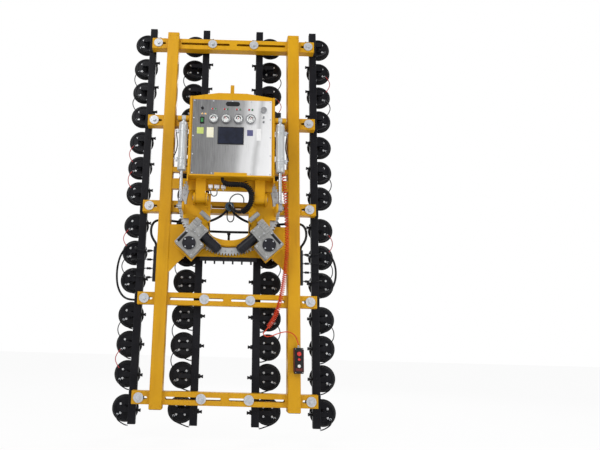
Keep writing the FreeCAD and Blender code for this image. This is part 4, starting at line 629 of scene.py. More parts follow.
def lengthOf(points):
    return sum((after - before).length for before, after in zip(points, points[1:]))


def cordPiece(name, line, diameter, body, look, slot, replaced, lay="hanging", facets=18, smooth=40):
    mesh = bmesh.new()
    swept(mesh, line, diameter / 2000, facets)
    made = piece(name, mesh, body, look, slot, smooth, replaced)
    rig.cord(made, exit=line[0], length=lengthOf(line), diameter=diameter / 1000, far_end="object",
            stiffness="medium", lay=lay, path=line)


# curly cord, pendant lead and hoses

spiral = {
    "curls": 88, "curlRadius": 20, "wire": 10, "stepsPerCurl": 20, "early": 1.35, "late": 0.35,
    "curly": [
        (500, -195, 889), (503, -193, 760), (520, -180, 560), (551, -160, 380), (578, -142, 150),
        (597, -120, -90), (606, -92, -320), (605, -66, -520), (588, -52, -720), (560, -46, -900),
        (524, -46, -1060), (472, -48, -1190), (412, -50, -1268)],
    "lead": [
        (366, -50, -1318), (382, -50, -1352), (440, -50, -1352), (520, -48, -1318), (600, -46, -1296),
        (668, -44, -1312), (712, -43, -1362), (725, -43, -1429)],
    "exit": [(500, -195, 905), (500, -195, 897)], "bend": ((500, -195, 889), (580, -140, 90)),
}


def alongLine(points):
    reached = [0.0]
    for before, after in zip(points, points[1:]):
        reached.append(reached[-1] + (after - before).length)

    def wound(distance, turn, reach):
        # point beside the line at a distance along it, turned about it
        high = min(max(bisect.bisect_right(reached, distance), 1), len(reached) - 1)
        low = high - 1
        share = (distance - reached[low]) / max(reached[high] - reached[low], 1e-9)
        heading = (points[high] - points[low]).normalized()
        across = (backward - heading * heading.dot(backward)).normalized()
        angle = 2 * math.pi * turn
        out = across * (reach * math.cos(angle)) + heading.cross(across) * (reach * math.sin(angle))
        return points[low].lerp(points[high], share) + out

    return wound, reached[-1]


def bendOf(first, second, spots):
    return (first, second, *(at(*spot) for spot in spots))


def spiralCord():
    wound, length = alongLine(routeLine(spiral["curly"], 24))
    turns, steps = spiral["curls"], spiral["stepsPerCurl"]
    path = [at(*spot) for spot in spiral["exit"]]
    for step in range(steps // 2, turns * steps - steps // 2 + 1):
        turn = step / steps
        share = turn / turns
        opening = min(1.0, turn, turns - turn)
        swell = spiral["curlRadius"] / 1000 * opening * opening * (3 - 2 * opening)
        path.append(wound(length * (spiral["early"] * share - spiral["late"] * share * share), turn, swell))
    path += routeLine(spiral["lead"], 16)[1:]
    bend = bendOf("yoke", "carrier", spiral["bend"])
    cordPiece("curlyCord", path, spiral["wire"], bend, "cordOrange", "cord_orange", "spiral_cord",
              facets=8, smooth=60)
    print("curly cord length", round(lengthOf(path), 3))


spiralCord()

hoses = {
    "supply": [
        (-86, -262, 238), (-86, -262, 204), (-58, -262, 176), (0, -262, 168), (80, -262, 172),
        (150, -261, 164), (206, -260, 122), (224, -258, 50), (216, -252, -16), (184, -232, -72),
        (134, -200, -104),
        (82, -162, -98), (36, -126, -62), (6, -107.3, -24), (0, -79.3, 0), (0, -45.3, 0)],
    "line": [
        (28, 18, -36), (52, 22, -72), (110, 42, -112), (190, 70, -146), (290, 96, -166), (400, 112, -166),
        (500, 132, -156), (580, 168, -142), (670, 178, -130), (746, 173, -126), (812, 144, -150),
        (842, 128, -216), (838, 111, -300), (806, 106, -366), (775, 105, -402), (775, 105, -440)],
    "columnLine": [
        (-625, 46, -251), (-520, 46, -251), (-320, 46, -262), (-160, 45, -270), (160, 45, -270),
        (320, 46, -262), (520, 46, -251), (625, 46, -251)],
    "unionLoop": [
        (0, 15, 46), (0, 15, 74), (14, 14, 108), (50, 14, 140), (98, 18, 150), (138, 32, 132), (154, 58, 108),
        (155, 77, 86), (155, 77, 65)],
    "unionSag": [
        (-18, 36, -42), (-24, 36, -80), (-23, 36, -118), (-13, 36, -146), (6, 37, -161), (28, 38, -157),
        (44, 42, -138), (50, 48, -110), (50, 60, -88), (50, 60, -65)],
    "left_outer": [
        (980, 206, -380), (1018, 206, -380), (1070, 214, -398), (1128, 226, -446), (1174, 234, -524),
        (1197, 238, -622), (1202, 240, -730), (1189, 238, -838), (1152, 230, -926), (1098, 218, -982),
        (1034, 206, -1002), (980, 206, -1002)],
    "right_outer": [
        (980, 206, -380), (1018, 206, -380), (1062, 213, -400), (1112, 223, -448), (1157, 231, -524),
        (1179, 234, -612), (1176, 234, -712), (1148, 230, -798), (1096, 218, -854), (1034, 206, -868),
        (980, 206, -868)],
    "tee": [(0, 0), (13, 0), (13, 245), (17, 247), (19, 251), (19, 275), (16, 279), (0, 279)],
    "supplyBend": ((200, -261, 164), (200, -136, 39)),
    "wrap": {"wire": 16, "reach": 23, "turns": 32, "steps": 16, "first": 0.06, "last": 0.72},
}


def supplyWrap(bend):
    # guard wound round the supply hose
    wrap = hoses["wrap"]
    wound, length = alongLine(routeLine(hoses["supply"]))
    path = []
    for step in range(wrap["turns"] * wrap["steps"] + 1):
        turn = step / wrap["steps"]
        share = wrap["first"] + (wrap["last"] - wrap["first"]) * turn / wrap["turns"]
        path.append(wound(length * share, turn, wrap["reach"] / 1000))
    mesh = bmesh.new()
    swept(mesh, path, wrap["wire"] / 2000, 8)
    piece("supplyWrap", mesh, bend, "hoseRubber", "hose_rubber", 60)


def hose(name, route, diameter, body, replaced, side=1, lay="hanging"):
    line = routeLine(hoses[route], side=side)
    cordPiece(name, line, diameter, body, "hoseRubber", "hose_rubber", replaced, lay)


def bigHoses():
    bend = bendOf("yoke", "carrier", hoses["supplyBend"])
    supplyWrap(bend)
    hose("supplyHose", "supply", 34, bend, "supply_hose")
    for label, side in sides.items():
        rail = label + "_outer"
        hose("frameLine_" + label, "line", 26, "frame", "frame_hoses", side)
        hose("sideLoop_" + label, rail, 22, "rail_" + rail, "cup_hoses_" + rail, side)
    hose("columnLine", "columnLine", 26, "frame", "frame_hoses", lay="taut")
    for name in ("unionLoop", "unionSag"):
        hose(name, name, 12, "frame", "frame_hoses")
    mesh = bmesh.new()
    turned(mesh, hoses["tee"], at(0, 45, -549), upward, 24)
    piece("lineTee", mesh, "frame", "hoseRubber", "hose_rubber", replaced="frame_hoses")


outlet = {
    "depth": 105, "levels": [-483.5, -578.5, -673.5, -768.5], "radius": 0.006,
    "ends": [(1008, -424), (1046, -568), (1040, -690), (1000, -740)],
    "bend": ((880, 105, -600), (970, 105, -600)),
    "valve": [(0, 0), (9, 0), (9, 6), (13, 8), (13, 24), (10, 26), (10, 30), (13, 32), (13, 44), (8, 46),
              (0, 46)],
    "cuff": [(6.2, 0), (8.5, 0), (8.5, 12), (6.2, 12)], "nut": [(6.4, 0), (11, 0), (11, 8), (6.4, 8)],
}


def outlets():
    valves, cuffs = meshes(2)
    depth = outlet["depth"]
    for label, side in sides.items():
        pipes = bmesh.new()
        for level, (endX, endZ) in zip(outlet["levels"], outlet["ends"]):
            route = [
                (795, depth, level), (880, depth, level), (960, 111, level * 0.8 + endZ * 0.2),
                (1014, 149, (level + endZ) / 2), (endX + 6, 217, level * 0.1 + endZ * 0.9), (endX, 265, endZ),
                (endX, 310, endZ)]
            swept(pipes, routeLine(route, 10, side), outlet["radius"], 12)
            for mesh, profile, x, facets in (
                    (valves, "valve", 815, 20), (cuffs, "cuff", 865, 18), (cuffs, "nut", 796, 6)):
                turned(mesh, outlet[profile], at(x * side, depth, level), outward(side), facets)
        bend = bendOf("frame", "rail_" + label + "_outer", [(x * side, y, z) for x, y, z in outlet["bend"]])
        piece("outletHoses_" + label, pipes, bend, "hoseRubber", "hose_rubber", replaced="frame_hoses")
    piece("checkValves", valves, "frame", "plugBlack", "manifold_black", replaced="frame_hoses")
    piece("outletNuts", cuffs, "frame", "zincPlate", "zinc_steel")


bigHoses()
outlets()
print("hoses done")


# suction cups

cup = {
    "offsets": {940: 95, 314: 140}, "plateFront": 310, "plateBack": 326, "boltAcross": 45, "boltUp": 46,
    "lip": [(0, 0), (108, 0), (117, 0.6), (120.5, 3), (122, 7), (125, 11), (130, 15.5), (135.5, 19.5),
            (139, 22.2), (140, 23.3), (139, 24), (134.5, 23.8), (130, 21), (124, 16.5), (117, 13.2),
            (108, 12), (60, 12), (0, 12)],
    "bolt": [(0, -5), (3.4, -5), (3.6, -8.4), (7, -9), (8.6, -7.6), (8.6, 0)],
    "washer": [(5, -1.8), (11.4, -1.8), (12, -1), (12, 0)],
    "rim": [(92, 0), (94, -4), (100, -5.5), (106, -4.5), (109, 0)],
    "stem": [(22.5, -42), (30, -40), (31, -32), (26, -30), (31, -28), (31, -20), (26, -18), (34, -14),
             (40, -3), (44, 0)],
    "fitting": (70.68, 298, -57), "nut": [(9.2, -2), (13, -2), (13, 7), (9.2, 7)],
    "cuff": [(6.2, -16), (9, -15), (9, -2), (6.2, -2)], "railNut": [(6.2, -8), (10, -8), (10, 0), (6.2, 0)],
    "railFace": 40, "entry": (212, -94), "hose": 0.006, "tubes": {"black": 0.0052, "red": 0.0045},
    "tubeBulge": (124, 138), "tubeShare": 0.8, "redShare": 0.3,
}


def cupHose(side, face, x, z):
    # from the cup's fitting round to the rail's face
    depth, end = cup["entry"][0], z + cup["entry"][1]
    return routeLine([
        (x, 296, z), (x, 274, z), (x - 2 * side, 252, z - 12), (x - 8 * side, 236, z - 46),
        (face + 52 * side, 224, z - 84), (face + 18 * side, depth, end), (face, depth, end)], 8)


def cupTube(side, x, z, below, bulge):
    # from one cup to the next below it
    arc = [(84, 303, z - 58), (112, 300, z - 92), (bulge, 298, (z + below) / 2), (112, 300, below + 92),
           (84, 303, below + 58)]
    return routeLine([(x + side * out, depth, height) for out, depth, height in arc], 8)


def suctionCups():
    chance = random.Random(7)
    for rail, (side, middle) in rails.items():
        lips, bolts, trim, nuts, jumpers, reds = meshes(6)
        strands = {"black": jumpers, "red": reds}
        face = side * (middle + cup["railFace"])
        x = side * (middle + cup["offsets"][middle])
        for number, z in enumerate(cupHeights):
            turned(lips, cup["lip"], at(x, cup["plateBack"], z), backward, 56)
            for dx in (-1, 1):
                for dz in (-1, 1):
                    spot = at(x + dx * cup["boltAcross"], cup["plateFront"], z + dz * cup["boltUp"])
                    turned(bolts, cup["bolt"], spot, backward, 14)
                    turned(bolts, cup["washer"], spot, backward, 16)
            front = at(x, cup["plateFront"], z)
            turned(trim, cup["rim"], front, backward, 48)
            turned(trim, cup["stem"], front, backward, 28)
            across, depth, down = cup["fitting"]
            startX, startZ = x + side * across, z + down
            fitting = at(startX, depth, startZ)
            turned(nuts, cup["nut"], fitting, backward, 6)
            turned(nuts, cup["cuff"], fitting, backward, 16)
            swept(jumpers, cupHose(side, face, startX, startZ), cup["hose"], 12)
            entry, fall = cup["entry"]
            turned(nuts, cup["railNut"], at(face + side, entry, startZ + fall), outward(-side), 6)
            if number < 12 and number % 3 and chance.random() < cup["tubeShare"]:
                line = cupTube(side, x, z, cupHeights[number + 1], chance.uniform(*cup["tubeBulge"]))
                tone = "red" if chance.random() < cup["redShare"] else "black"
                swept(strands[tone], line, cup["tubes"][tone], 10)
        body = "rail_" + rail
        piece("lips_" + rail, lips, body, "lipRubber", "lip_rubber", 50, "cup_lips_" + rail)
        # bolts in the lighter zinc with a painted highlight
        piece("cupBolts_" + rail, bolts, body, "zincPaintedHighlight", "zinc_steel")
        piece("cupTrim_" + rail, trim, body, "cupCoat", "cup_black")
        piece("cupNuts_" + rail, nuts, body, "zincPlate", "zinc_steel")
        piece("cupHoses_" + rail, jumpers, body, "hoseRubber", "hose_rubber", replaced="cup_hoses_" + rail)
        piece("cupSensorTubes_" + rail, reds, body, "tubeRed", "hose_rubber")


suctionCups()
print("cups done")

railEnds = {
    "plugs": [((-39, 163, -2252), (39, 221, -2238)), ((-39, 163, 2189), (39, 221, 2193))],
    "cupScrew": [(0, -4), (2.6, -4), (2.8, -5.4), (5.6, -5.6), (6.4, -4.6), (6.4, 0)],
    "crossScrew": [(0, -5), (7, -5), (8, -4), (8, 0)],
    "cupScrews": (162, 14), "crossScrews": (150, 32),
}


def railTrim():
    for rail, (side, middle) in rails.items():
        plugs, screws = meshes(2)
        x = side * middle
        for low, high in railEnds["plugs"]:
            box(plugs, x, low, high, 1.5)
        for kind, heights, facets in (("cupScrew", cupHeights, 12), ("crossScrew", crossHeights, 6)):
            depth, shift = railEnds[kind + "s"]
            for height in heights:
                for z in (height - shift, height + shift):
                    turned(screws, railEnds[kind], at(x, depth, z), backward, facets)
        piece("railPlugs_" + rail, plugs, "rail_" + rail, "plugBlack", "rail_black")
        piece("railScrews_" + rail, screws, "rail_" + rail, "cupCoat", "rail_black")


railTrim()


# frame

weld = {"bead": 0.0035, "step": 0.009, "wave": 0.0009}
column = {
    "inner": 625, "outer": 755, "middle": 690, "plateWelds": [(185, 300), (375, 430), (-710, -214)],
    "crossWeld": (50, 62), "edgeWeld": (56, 146, 65), "plug": ((-57, 8, -2090), (57, 142, -2070)),
    "screw": [(0, -4), (6, -4), (7, -3), (7, 0)], "screwAcross": 40, "screwHeights": (2020, -2050),
}
ring = {"outer": (48, 495, -60), "inner": (40, 423, -70), "head": [(0, 7), (7.5, 7), (8.6, 6), (8.6, 0)],
        "topHalf": 186, "flank": (392, 120)}


def bead(mesh, first, last, chance):
    run = last - first
    count = max(int(run.length / weld["step"]), 3)
    points = []
    for step in range(count + 1):
        shake = Vector((chance.uniform(-1, 1), chance.uniform(-1, 1), chance.uniform(-1, 1))) * weld["wave"]
        points.append(first + run * (step / count) + shake)
    swept(mesh, points, weld["bead"], 6)


def frameTrim():
    chance = random.Random(3)
    beads, caps, screws = meshes(3)
    across = column["screwAcross"]
    depth, half = column["crossWeld"]
    near, far, edge = column["edgeWeld"]
    for side in sides.values():
        for height in crossHeights:
            for x in (side * column["inner"], side * column["outer"]):
                bead(beads, at(x, depth, height - half), at(x, depth, height + half), chance)
                for z in (height - edge, height + edge):
                    bead(beads, at(x, near, z), at(x, far, z), chance)
        for low, high in column["plateWelds"]:
            bead(beads, at(side * column["inner"], 1, low), at(side * column["inner"], 1, high), chance)
        x = side * column["middle"]
        box(caps, x, *column["plug"], 2)
        for height in column["screwHeights"]:
            for shift in (-across, across):
                turned(screws, column["screw"], at(x + shift, 0, height), backward, 12)
    piece("weldBeads", beads, "frame", "amberPaint", "frame_paint", 60)
    piece("columnPlugs", caps, "frame", "plugBlack", "case_black")
    piece("columnScrews", screws, "frame", "amberPaint", "frame_paint")


def ringSpots(count, radius, depth):
    for number in range(count):
        angle = 2 * math.pi * (number + 0.5) / count
        yield radius * math.cos(angle), depth, radius * math.sin(angle), angle


def ringTrim():
    bolts, inner = meshes(2)
    for x, y, z, angle in ringSpots(*ring["outer"]):
        turned(bolts, ring["head"], at(x, y, z), forward, 6, angle)
    for x, y, z, angle in ringSpots(*ring["inner"]):
        # only the top stretch and the upper flanks have bolts
        if abs(x) < ring["topHalf"] and z > 0 or abs(x) > ring["flank"][0] and z > ring["flank"][1]:
            turned(inner, ring["head"], at(x, y, z), forward, 6, angle)
    piece("ringBolts", bolts, "frame", "pinSteel", "pin_steel")
    piece("innerRingBolts", inner, "carrier", "pinSteel", "pin_steel")


frameTrim()
ringTrim()
print("frame trim done")


# slewing drives and carrier

drive = {
    "angle": 48, "distance": 605, "front": -235, "coverFront": -250, "wormFront": -227, "screws": (100, 72),
    "coverBolts": 54, "wormScrews": [(-40, 126), (20, 126), (-40, 210), (20, 210)], "motor": (162, -165),
    "screw": [(0, 3), (4, 3), (4.2, 6), (7.5, 6.4), (8.5, 5), (8.5, 0)],
    "coverBolt": [(0, 2), (3.4, 2), (3.6, 5.4), (6.8, 5.8), (7.6, 4.6), (7.6, 0)],
    "wormScrew": [(0, 3), (3, 3), (3.2, 5), (6, 5.4), (6.6, 4), (6.6, 0)],
    "strip": ((0.013, 0.002, 0.066), 0.8, (-96, 4, -237)),
    "plates": [((0.004, 0.0015, 0.062), 0.6, (88, 0, -236.5)), ((0.038, 0.004, 0.05), 2, (-10, 168, -223)),
               ((0.034, 0.06, 0.082), 4, (-99, 172, -157))]
    + [((0.036, 0.003, 0.004), 1.5, (-99, inward, -219)) for inward in (116, 144, 172, 200, 228)],
    "bands": [(50, 12), (78, 5), (96, 5), (114, 5), (132, 5), (150, 5), (168, 5), (186, 5), (222, 14)],
    "motorEnd": [(0, 0), (36, 0), (40, -2), (40, 0), (30, 4), (0, 4)],
    "lead": [(60, 205, -200), (66, 225, -206), (40, 260, -196), (0, 285, -160), (-20, 300, -110)],
}


def inDrive(side, along, inward, depth):
    lean, rise = math.cos(math.radians(drive["angle"])), math.sin(math.radians(drive["angle"]))
    x = (inward - drive["distance"]) * lean + along * rise
    z = (inward - drive["distance"]) * rise - along * lean
    return at(-side * x, depth, z)


def driveBlock(mesh, side, half, ease, place):
    # block that lies square to the drive
    angle = math.radians(90 - drive["angle"]) * -side
    turn = Matrix.Translation(inDrive(side, *place)) @ Matrix.Rotation(angle, 4, "Y")
    block(mesh, -Vector(half), half, ease, turn)


def driveTrim():
    screws, plates, strips, bands, leads = meshes(5)
    for side in sides.values():
        for u in (-1, 1):
            for w in (-1, 1):
                spot = inDrive(side, u * drive["screws"][0], w * drive["screws"][1], drive["front"])
                turned(screws, drive["screw"], spot, forward, 14)
            for along, inward in ((u * drive["coverBolts"], 0), (0, u * drive["coverBolts"])):
                spot = inDrive(side, along, inward, drive["coverFront"])
                turned(screws, drive["coverBolt"], spot, forward, 14)
        driveBlock(strips, side, *drive["strip"])
        for plate in drive["plates"]:
            driveBlock(plates, side, *plate)
        for along, inward in drive["wormScrews"]:
            turned(screws, drive["wormScrew"], inDrive(side, along, inward, drive["wormFront"]), forward, 12)
        motorWay = (inDrive(side, 100, *drive["motor"]) - inDrive(side, 0, *drive["motor"])).normalized()
        for start, wide in drive["bands"]:
            turned(bands, [(51.5, 0), (54.5, 0.8), (54.5, wide - 0.8), (51.5, wide)],
                   inDrive(side, start, *drive["motor"]), motorWay, 40)
        turned(bands, drive["motorEnd"], inDrive(side, 264, *drive["motor"]), motorWay, 32)
        swept(leads, smoothLine([inDrive(side, *spot) for spot in drive["lead"]], 10), 0.006, 10)
    piece("gearboxScrews", screws, "carrier", "zincPlate", "zinc_steel")
    piece("gearboxStrips", strips, "carrier", "inkBlack", "motor_black")
    piece("gearboxPlates", plates, "carrier", "gearboxCast", "gearbox_grey")
    piece("motorBands", bands, "carrier", "motorBlack", "motor_black")
    piece("motorLeads", leads, "carrier", "hoseRubber", "hose_rubber")


carrier = {
    "weldDepth": -96, "bracketWelds": (235, 253, 363, 381), "tabWelds": (466, 486), "face": -95,
    "bolts": [(222, -60), (222, -220), (222, 84), (362, -130), (300, -60)], "pinEnds": {227: -1, 389: 1},
    "bolt": [(0, 9), (11, 9), (12.5, 7.5), (12.5, 0)], "washer": [(12, 2.5), (17, 2.5), (18, 1.5), (18, 0)],
    "pinEnd": [(0, 6), (20, 6), (24, 3), (24, 0)],
}


def carrierTrim():
    chance = random.Random(11)
    beads, bolts = meshes(2)
    depth = carrier["weldDepth"]
    for side in sides.values():
        for x in carrier["bracketWelds"]:
            bead(beads, at(side * x, depth, -18), at(side * x, depth, 98), chance)
        for x in carrier["tabWelds"]:
            bead(beads, at(side * x, depth, -116), at(side * x, depth, -44), chance)
        for x, z in carrier["bolts"]:
            turned(bolts, carrier["bolt"], at(side * x, carrier["face"], z), forward, 6)
            turned(bolts, carrier["washer"], at(side * x, carrier["face"], z), forward, 24)
        for x, way in carrier["pinEnds"].items():
            turned(bolts, carrier["pinEnd"], at(side * x, -170, 40), outward(side * way), 24)
    piece("carrierBeads", beads, "carrier", "amberPaint", "frame_paint", 60)
    piece("carrierBolts", bolts, "carrier", "amberPaint", "frame_paint")


driveTrim()
carrierTrim()


# actuators, with places along the barrel from its trunnion

actuator = {
    "x": 507, "trunnion": (-270, 880), "pin": (-300, -80), "clamps": (140, 455),
    "topCap": [(20, 50), (40, 52), (46.5, 58), (46.5, 84), (45, 86)],
    "lowCap": [(45, 530), (47, 532), (47, 576), (44, 582), (30, 586), (18.5, 587)],
    "ribs": {"count": 8, "out": 0.0435, "along": (0.086, 0.3, 0.53), "radius": 0.005},
    "clampOut": 0.058, "clampHalf": (0.012, 0.011, 0.021),
    "clampKnob": [(0, 0), (6, 0), (6, 14), (4, 16), (0, 16)], "knobUp": 0.008,
    "lead": [(72, 148, 0), (72, 176, 0), (66, 210, 4), (58, 270, 6), (58, 330, 6), (70, 384, 2), (86, 424, 0),
             (86, 448, 0), (78, 462, 0)],
    "boot": [(17.5, 884), (22, 886), (24, 892), (24, 918), (20, 924)],
    "pinEnd": [(0, 0), (14, 0), (18, 2), (18, 7), (14, 9), (0, 9)],
    "trunnionEnd": [(0, 0), (20, 0), (24, 2), (24, 5), (0, 6)],
}


def actuatorTrim():
    run = (at(0, *actuator["pin"]) - at(0, *actuator["trunnion"])).normalized()
    aside, over = axesFor(run)[:2]
    ribs, half = actuator["ribs"], Vector(actuator["clampHalf"])
    pins = bmesh.new()
    for label, side in sides.items():
        caps, clamps, leads, boots = meshes(4)
        top = at(side * actuator["x"], *actuator["trunnion"])
        turned(caps, actuator["topCap"], top, run, 40)
        turned(caps, actuator["lowCap"], top, run, 40)
        for step in range(ribs["count"]):
            angle = 2 * math.pi * (step + 0.5) / ribs["count"]
            out = (aside * math.cos(angle) + over * math.sin(angle)) * ribs["out"]
            swept(caps, [top + run * along + out for along in ribs["along"]], ribs["radius"], 10)
        for along in actuator["clamps"]:
            turned(caps, [(45, along), (49.5, along + 1), (49.5, along + 15), (45, along + 16)], top, run, 40)
            middle = top + run * ((along + 8) / 1000) + outward(side * actuator["clampOut"])
            block(clamps, middle - half, middle + half, 2)
            knob = middle + Vector((side * half.x, 0, actuator["knobUp"]))
            turned(clamps, actuator["clampKnob"], knob, outward(side), 14)
        route = [top + run * (along / 1000) + Vector((side * out, behind, 0)) / 1000
                 for out, along, behind in actuator["lead"]]
        swept(leads, smoothLine(route, 8), 0.0055, 10)
        turned(boots, actuator["boot"], top, run, 28)
        turned(boots, actuator["pinEnd"], at(side * 535, *actuator["pin"]), outward(side), 24)
        turned(pins, actuator["trunnionEnd"], at(side * 572, *actuator["trunnion"]), outward(side), 28)
        piece("barrelCaps_" + label, caps, "barrel_" + label, "barrelGrey", "barrel_grey")
        piece("barrelClamps_" + label, clamps, "barrel_" + label, "zincPlate", "zinc_steel")
        piece("barrelLeads_" + label, leads, "barrel_" + label, "hoseRubber", "hose_rubber")
        piece("rodBoot_" + label, boots, "rod_" + label, "pinSteel", "pin_steel")
    piece("trunnionCaps", pins, "yoke", "pinSteel", "pin_steel")


actuatorTrim()
print("drives and actuators done")


# control cabinet

panel = {
    "face": -313, "gaugeX": [-193.5, -64.5, 64.5, 193.5], "gaugeZ": 866, "lampZ": 974, "lampGap": 34,
    "amberZ": 916, "keyZ": 976, "meterX": 330, "toggleZ": (841, 891), "switchX": -314,
    "screen": (-140, 117, 592, 768), "badge": (5, 1036, 74, 24),
    "labels": [(-330, 730, 70, 70, "lime"), (-226, 712, 72, 112, "cream"), (190, 716, 62, 66, "indigo"),
               (282, 700, 48, 132, "white")],
    "bezel": [(49.5, 1), (52, 2), (53, 10), (52.5, 22), (49, 26), (45, 26.5), (43.2, 24), (43, 18)],
    "dial": [(0, 18.4), (42.9, 18.4), (42.9, 17.6)], "hub": [(0, 3), (3.4, 3), (4, 2), (4, -1.6)],
    "glass": [(0, 24.4), (20, 24.2), (36, 23.4), (43, 22.4)], "dialFront": 18.4,
    "lampDome": [(10.4, 0), (10.4, 4), (8.6, 8), (8.4, 10.5), (6, 13.4), (3, 14.6), (0, 15)],
    "lampCollar": [(9.4, 0), (13, 0), (13, 2.6), (10.6, 4), (9.4, 4)],
    "toggle": [(0, 20), (2.4, 32), (3.6, 33), (4, 30), (3, 18.6), (8.4, 17), (11, 8), (12, 4), (12, 0)],
    "meterRing": [(26, 16.4), (33, 16.8), (34, 14), (34, 0)],
    "keyRing": [(16.6, 0), (23, 0), (23, 5), (20, 8), (16.6, 8)],
    "meterDial": [(0, 16.6), (26, 16.6), (26, 15.8)],
    "screw": [(0, 2), (3, 2), (3.2, 3.6), (7, 3.4), (8, 0)],
    "screws": [(x, z) for x in (-400, -200, 0, 200, 400) for z in (268, 1066)]
    + [(x, z) for z in (470, 670, 870) for x in (-402, 402)],
}


# the dials' scales, with each tick's length and half width in metres
scale = {
    "start": 225, "turn": 13.5, "ticks": 21, "every": 5, "major": (0.008, 0.0011), "minor": (0.0045, 0.0006),
    # the band entries place the painted bezel shadow, a dark arc over the dial's upper half
    "bandStart": 198, "bandTurn": 9, "bandSteps": 25, "band": (0.017, 0.027, 0.0005),
    "needle": (-0.010, 0.012, 0.031),
}


def onPanel(x, z, out=0.0):
    return at(x, panel["face"] - out, z)


def aimAt(degrees):
    angle = math.radians(degrees)
    return Vector((math.cos(angle), 0, math.sin(angle)))


def scaleAim(step):
    return aimAt(scale["start"] - scale["turn"] * step)


def arcTicks(mesh, centre, radius, thick):
    for step in range(scale["ticks"]):
        aim = scaleAim(step)
        long, half = scale["minor"] if step % scale["every"] else scale["major"]
        outer, inner = centre + aim * radius, centre + aim * (radius - long)
        wide = Vector((-aim.z, 0, aim.x)) * half
        raised(mesh, [outer - wide, outer + wide, inner + wide, inner - wide], thick, False)


def paintedBezelShadow(mesh, centre, inner, outer, thick):
    # painted shadow of the bezel: a dark band above the dial's middle
    rows = []
    for step in range(scale["bandSteps"]):
        aim = aimAt(scale["bandStart"] - scale["bandTurn"] * step)
        flat = [centre + aim * outer, centre + aim * inner]
        rows.append([mesh.verts.new(spot) for spot in flat + [spot + forward * thick for spot in flat[::-1]]])
    skin(mesh, rows, capped=True)


def gaugesTrim():
    bezels, dials, ticks, glasses, needles = meshes(5)
    for number, x in enumerate(panel["gaugeX"]):
        centre = onPanel(x, panel["gaugeZ"])
        dial = onPanel(x, panel["gaugeZ"], panel["dialFront"])
        hub = onPanel(x, panel["gaugeZ"], 20)
        tip = scaleAim(4 + 3 * number)
        turned(bezels, panel["bezel"], centre, forward, 56)
        turned(dials, panel["dial"], centre, forward, 48)
        arcTicks(ticks, dial, 0.037, 0.0006)
        # painted shadow of the bezel over the dial's upper half
        paintedBezelShadow(ticks, dial, *scale["band"])
        swept(needles, [hub + tip * reach for reach in scale["needle"]], 0.0011, 6)
        turned(needles, panel["hub"], hub, forward, 16)
        turned(glasses, panel["glass"], centre, forward, 48)
    piece("gaugeBezels", bezels, "yoke", "rodChrome", "rod_chrome")
    piece("gaugeDials", dials, "yoke", "dialWhite", "button_white")
    piece("gaugeTicksAndShadow", ticks, "yoke", "inkBlack", "gauge_black")
    piece("gaugeNeedles", needles, "yoke", "redGloss", "lamp_red")
    piece("gaugeGlasses", glasses, "yoke", "dialGlass", "button_white")


def lampsTrim():
    groups = {tone: bmesh.new() for tone in ("red", "green", "amber")}
    collars, meter, marks = meshes(3)
    half, meterX, lampZ = panel["lampGap"] / 2, panel["meterX"], panel["lampZ"]
    spots = []
    for x in panel["gaugeX"]:
        spots += [("red", x - half, lampZ), ("green", x + half, lampZ)]
    for shift in (0, panel["lampGap"]):
        spots.append(("amber", panel["switchX"] + shift, panel["amberZ"]))
    for tone, x, z in spots:
        turned(groups[tone], panel["lampDome"], onPanel(x, z), forward, 24)
        turned(collars, panel["lampCollar"], onPanel(x, z), forward, 24)
    for tone, mesh in groups.items():
        piece("lamps_" + tone, mesh, "yoke", tone + "Gloss", "lamp_red")
    for height in panel["toggleZ"]:
        turned(collars, panel["toggle"], onPanel(meterX, height), forward, 20)
    turned(collars, panel["meterRing"], onPanel(meterX, lampZ), forward, 40)
    turned(collars, panel["keyRing"], onPanel(panel["switchX"], panel["keyZ"]), forward, 32)
    piece("panelCollars", collars, "yoke", "rodChrome", "rod_chrome")
    turned(meter, panel["meterDial"], onPanel(meterX, lampZ), forward, 32)
    piece("chargeDial", meter, "yoke", "dialGrey", "button_white")
    arcTicks(marks, onPanel(meterX, lampZ, 16.6), 0.023, 0.0005)
    swept(marks, [onPanel(meterX, lampZ, 17.4), onPanel(meterX + 14, lampZ + 12, 17.4)], 0.0009, 6)
    piece("chargeMarks", marks, "yoke", "inkBlack", "gauge_black")


def panelPlates():
    frames, screens, screws, badge = meshes(4)
    left, right, low, high = panel["screen"]
    block(frames, onPanel(left - 8, low - 8, 7), onPanel(right + 8, high + 8), 3)
    block(screens, onPanel(left, low, 8.4), onPanel(right, high, 6), 1)
    for x, z, wide, tall, tone in panel["labels"]:
        blank = bmesh.new()
        block(blank, onPanel(x - wide / 2, z - tall / 2, 1), onPanel(x + wide / 2, z + tall / 2, -0.2), 0.4)
        piece("plateBlank_" + tone, blank, "yoke", "label" + tone.capitalize(), "button_white")
    x, z, wide, tall = panel["badge"]
    plaque(badge, onPanel(x, z), 2 * wide, 2 * tall, 4, tall - 1)
    for x, z in panel["screws"]:
        turned(screws, panel["screw"], onPanel(x, z), forward, 14)
    piece("screenFrame", frames, "yoke", "inkBlack", "gauge_black")
    piece("screenGlass", screens, "yoke", "screenDark", "gauge_black")
    piece("badgeBlank", badge, "yoke", "inkBlack", "gauge_black")
    piece("panelScrews", screws, "yoke", "zincPlate", "zinc_steel")


